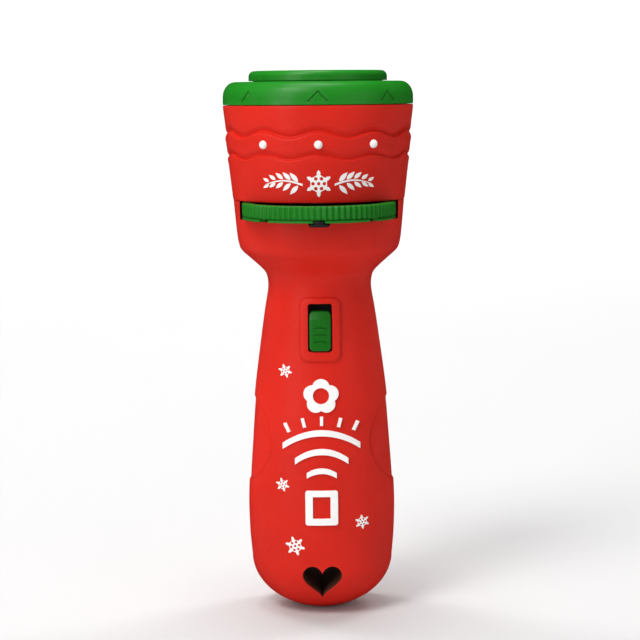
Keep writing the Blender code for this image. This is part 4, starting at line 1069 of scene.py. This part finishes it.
def sprig(side):
    """A curved stem with pairs of leaves, which points away from the middle of the ornament."""
    start, end = 5.2, 17.4

    def stem(part):
        return start + (end - start) * part, 148.0 + 1.7 * math.sin(math.pi * part * 0.9) - 0.6 * part

    stem_low, stem_high = [], []
    for k in range(25):
        part = k / 24
        x, z = stem(part)
        half = 0.34 - 0.2 * part
        stem_low.append((side * x, z - half))
        stem_high.append((side * x, z + half))
    loops = [stem_low + stem_high[::-1]]
    for k, part in enumerate((0.10, 0.30, 0.50, 0.70, 0.88)):
        x, z = stem(part)
        for up in (1, -1):
            lean = up * math.radians(48 - 4 * k)
            direction = lean if side > 0 else math.pi - lean
            base = (side * (x + 0.25), z + up * (0.62 - 0.2 * part))
            loops.append(leaf(base, direction, 4.0 - 0.45 * k, 1.5 - 0.12 * k))
    return loops


def printed(name, loops, low, high, skin, rounding=0.0):
    piece(raised(name, loops, low, high, skin, rounding), "housing", "white_plastic", look=white_print)


def make_marks():
    """The white marks: raised shapes, thin snowflakes, the ornament and the dots."""
    rays = (
        ((-12.0, 67.5), (-10.6, 64.5)), ((-6.2, 69.4), (-5.4, 66.3)), ((0.2, 70.0), (0.2, 66.9)),
        ((6.6, 69.4), (5.8, 66.3)), ((12.3, 68.0), (10.8, 65.0)),
    )
    marks = {
        "flower_mark": [flower((0.1, 76.7)), circle((0.08, 76.9), 2.7, 36)],
        "ray_marks": [bar(start, end) for start, end in rays],
        "wide_arc_mark": [strip_arc(12.85, 58.65, 65.45, 2.1, 0.1)],
        "middle_arc_mark": [strip_arc(8.85, 53.6, 59.1, 2.1, 0.12)],
        "small_arc_mark": [strip_arc(4.98, 48.95, 52.5, 1.9, 0.1)],
        "frame_mark": [
            rounded_rectangle(5.42, 33.0, 44.9, 0.8, 4, 8), rounded_rectangle(2.95, 35.3, 42.75, 0.2, 2, 6),
        ],
    }
    for name, loops in marks.items():
        printed(name, loops, -0.4, 0.6, case_front, 0.12)
    flakes = (  # centre, radius, turn
        ((-11.8, 85.0), 2.35, 0.3), ((-13.1, 46.4), 2.35, 0.25), ((13.6, 33.3), 2.5, 0.1),
        ((-9.1, 25.5), 3.4, 0.31),
    )
    for number, flake in enumerate(flakes, 1):
        printed(f"snowflake_{number}", snowflake(*flake), -0.2, 0.12, case_front)
    printed("drum_ornament", snowflake((0, 148.4), 4.4) + sprig(1) + sprig(-1), -0.2, 0.12, drum_front)
    steps, radius, rise, sunk = 8, 1.4, 1.25, -0.8
    lifts = [QUARTER * k / steps for k in range(steps + 1)]
    dome = [(radius * math.sin(lift), rise * math.cos(lift)) for lift in lifts]
    lay = Matrix.Translation(Vector((0, -31.2, 161.0)) * MM) @ Matrix.Rotation(math.radians(96), 4, "X")
    for number, degrees in enumerate((-35, 0, 35), 1):
        dot = turned(f"white_dot_{number}", (*dome, (radius, sunk), (0, sunk)), 32)
        dot.data.transform(Matrix.Rotation(math.radians(degrees), 4, "Z") @ lay)
        piece(dot, "housing", "white_plastic", look=white_print)


# ---------------- stage


def make_stage():
    """A pale floor that sweeps up all round, soft lights, and the camera."""
    flat, sweep, height = 1200.0, 2400.0, 2600.0
    profile = [(flat * k / 6, 0.0) for k in range(7)]
    for k in range(1, 13):
        turn = QUARTER * k / 12
        profile.append((flat + sweep * math.sin(turn), sweep * (1 - math.cos(turn))))
    floor = turned("floor", [*profile, (flat + sweep, height)], 64)
    g = Graph("pale_floor")
    pale = g.mixed(g.noise(3.0), (0.60, 0.60, 0.60), (0.62, 0.62, 0.62))
    floor.data.materials.append(g.finished({"Base Color": pale, "Roughness": 0.9}))
    floor.visible_glossy = False

    world = bpy.data.worlds.new("studio")
    bpy.context.scene.world = world
    world.use_nodes = True
    background = world.node_tree.nodes["Background"]
    background.inputs["Color"].default_value = (1.0, 1.0, 1.0, 1.0)
    background.inputs["Strength"].default_value = 0.31
    world.cycles_visibility.glossy = False

    body, wall = (0, 0, 0.1), (0, 3.4, 0.7)
    lights = (  # name, place, aim, width and height, watts
        ("key", (-0.55, -0.70, 1.25), body, (0.6, 0.6), 11.0),
        ("strip", (-0.88, -1.0, 0.45), body, (0.5, 1.5), 7.4),
        ("fill", (0.95, -0.9, 0.45), body, (0.9, 0.9), 1.9),
        ("top", (-0.05, 0.05, 1.5), body, (0.6, 0.6), 8.5),
        ("backdrop_left", (-1.3, 1.1, 2.2), wall, (1.5, 1.5), 57.0),
        ("backdrop_right", (1.3, 1.1, 2.2), wall, (1.5, 1.5), 57.0),
    )
    for name, place, aim, size, watts in lights:
        data = bpy.data.lights.new(name, "AREA")
        data.shape = "ELLIPSE"
        data.size, data.size_y = size
        data.energy = watts
        lamp = in_scene(name, data)
        lamp.location = place
        lamp.rotation_euler = (Vector(aim) - Vector(place)).to_track_quat("-Z", "Y").to_euler()
        lamp.visible_glossy = not name.startswith("backdrop")

    data = bpy.data.cameras.new("camera")
    data.lens, data.sensor_width = 100.125, 36.0
    camera = in_scene("camera", data)
    tilt, roll = math.radians(82.637), math.radians(-0.55)
    place = Matrix.Translation((0, -0.6071, 0.1785))
    camera.matrix_world = place @ Matrix.Rotation(tilt, 4, "X") @ Matrix.Rotation(roll, 4, "Z")
    bpy.context.scene.camera = camera
    bpy.context.scene.view_settings.view_transform = "Standard"


def dress_cad_nodes():
    """Each CAD node takes the look of its slot, which its own material is named after."""
    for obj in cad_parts.values():
        look = looks[obj.data.materials[0].name.split(".")[0]]
        for k in range(len(obj.data.materials)):
            obj.data.materials[k] = look


make_stage()
dress_cad_nodes()
make_shells(case_hollows(), heart_tunnel())
for number, (screw_x, screw_z) in enumerate(screw_places(), 1):
    screw_head = (screw_x, CASE_SCREW_HEAD_Y, screw_z)
    make_screw(f"rear_screw_{number}", screw_head, REAR_SCREW, "housing", f"case_screw_{number}")
for number, screw_z in enumerate(DOOR_SCREW_ZS, 1):
    screw_head = (0, case_surface_y(0, screw_z) - DOOR_SCREW_INSET, screw_z)
    make_screw(
        f"cover_screw_{number}", screw_head, DOOR_SCREW, "battery_door", f"battery_door_screw_{number}"
    )
make_drum()
make_wheel()
make_focus_ring()
make_barrel()
make_button()
make_spring_leaf()
make_marks()
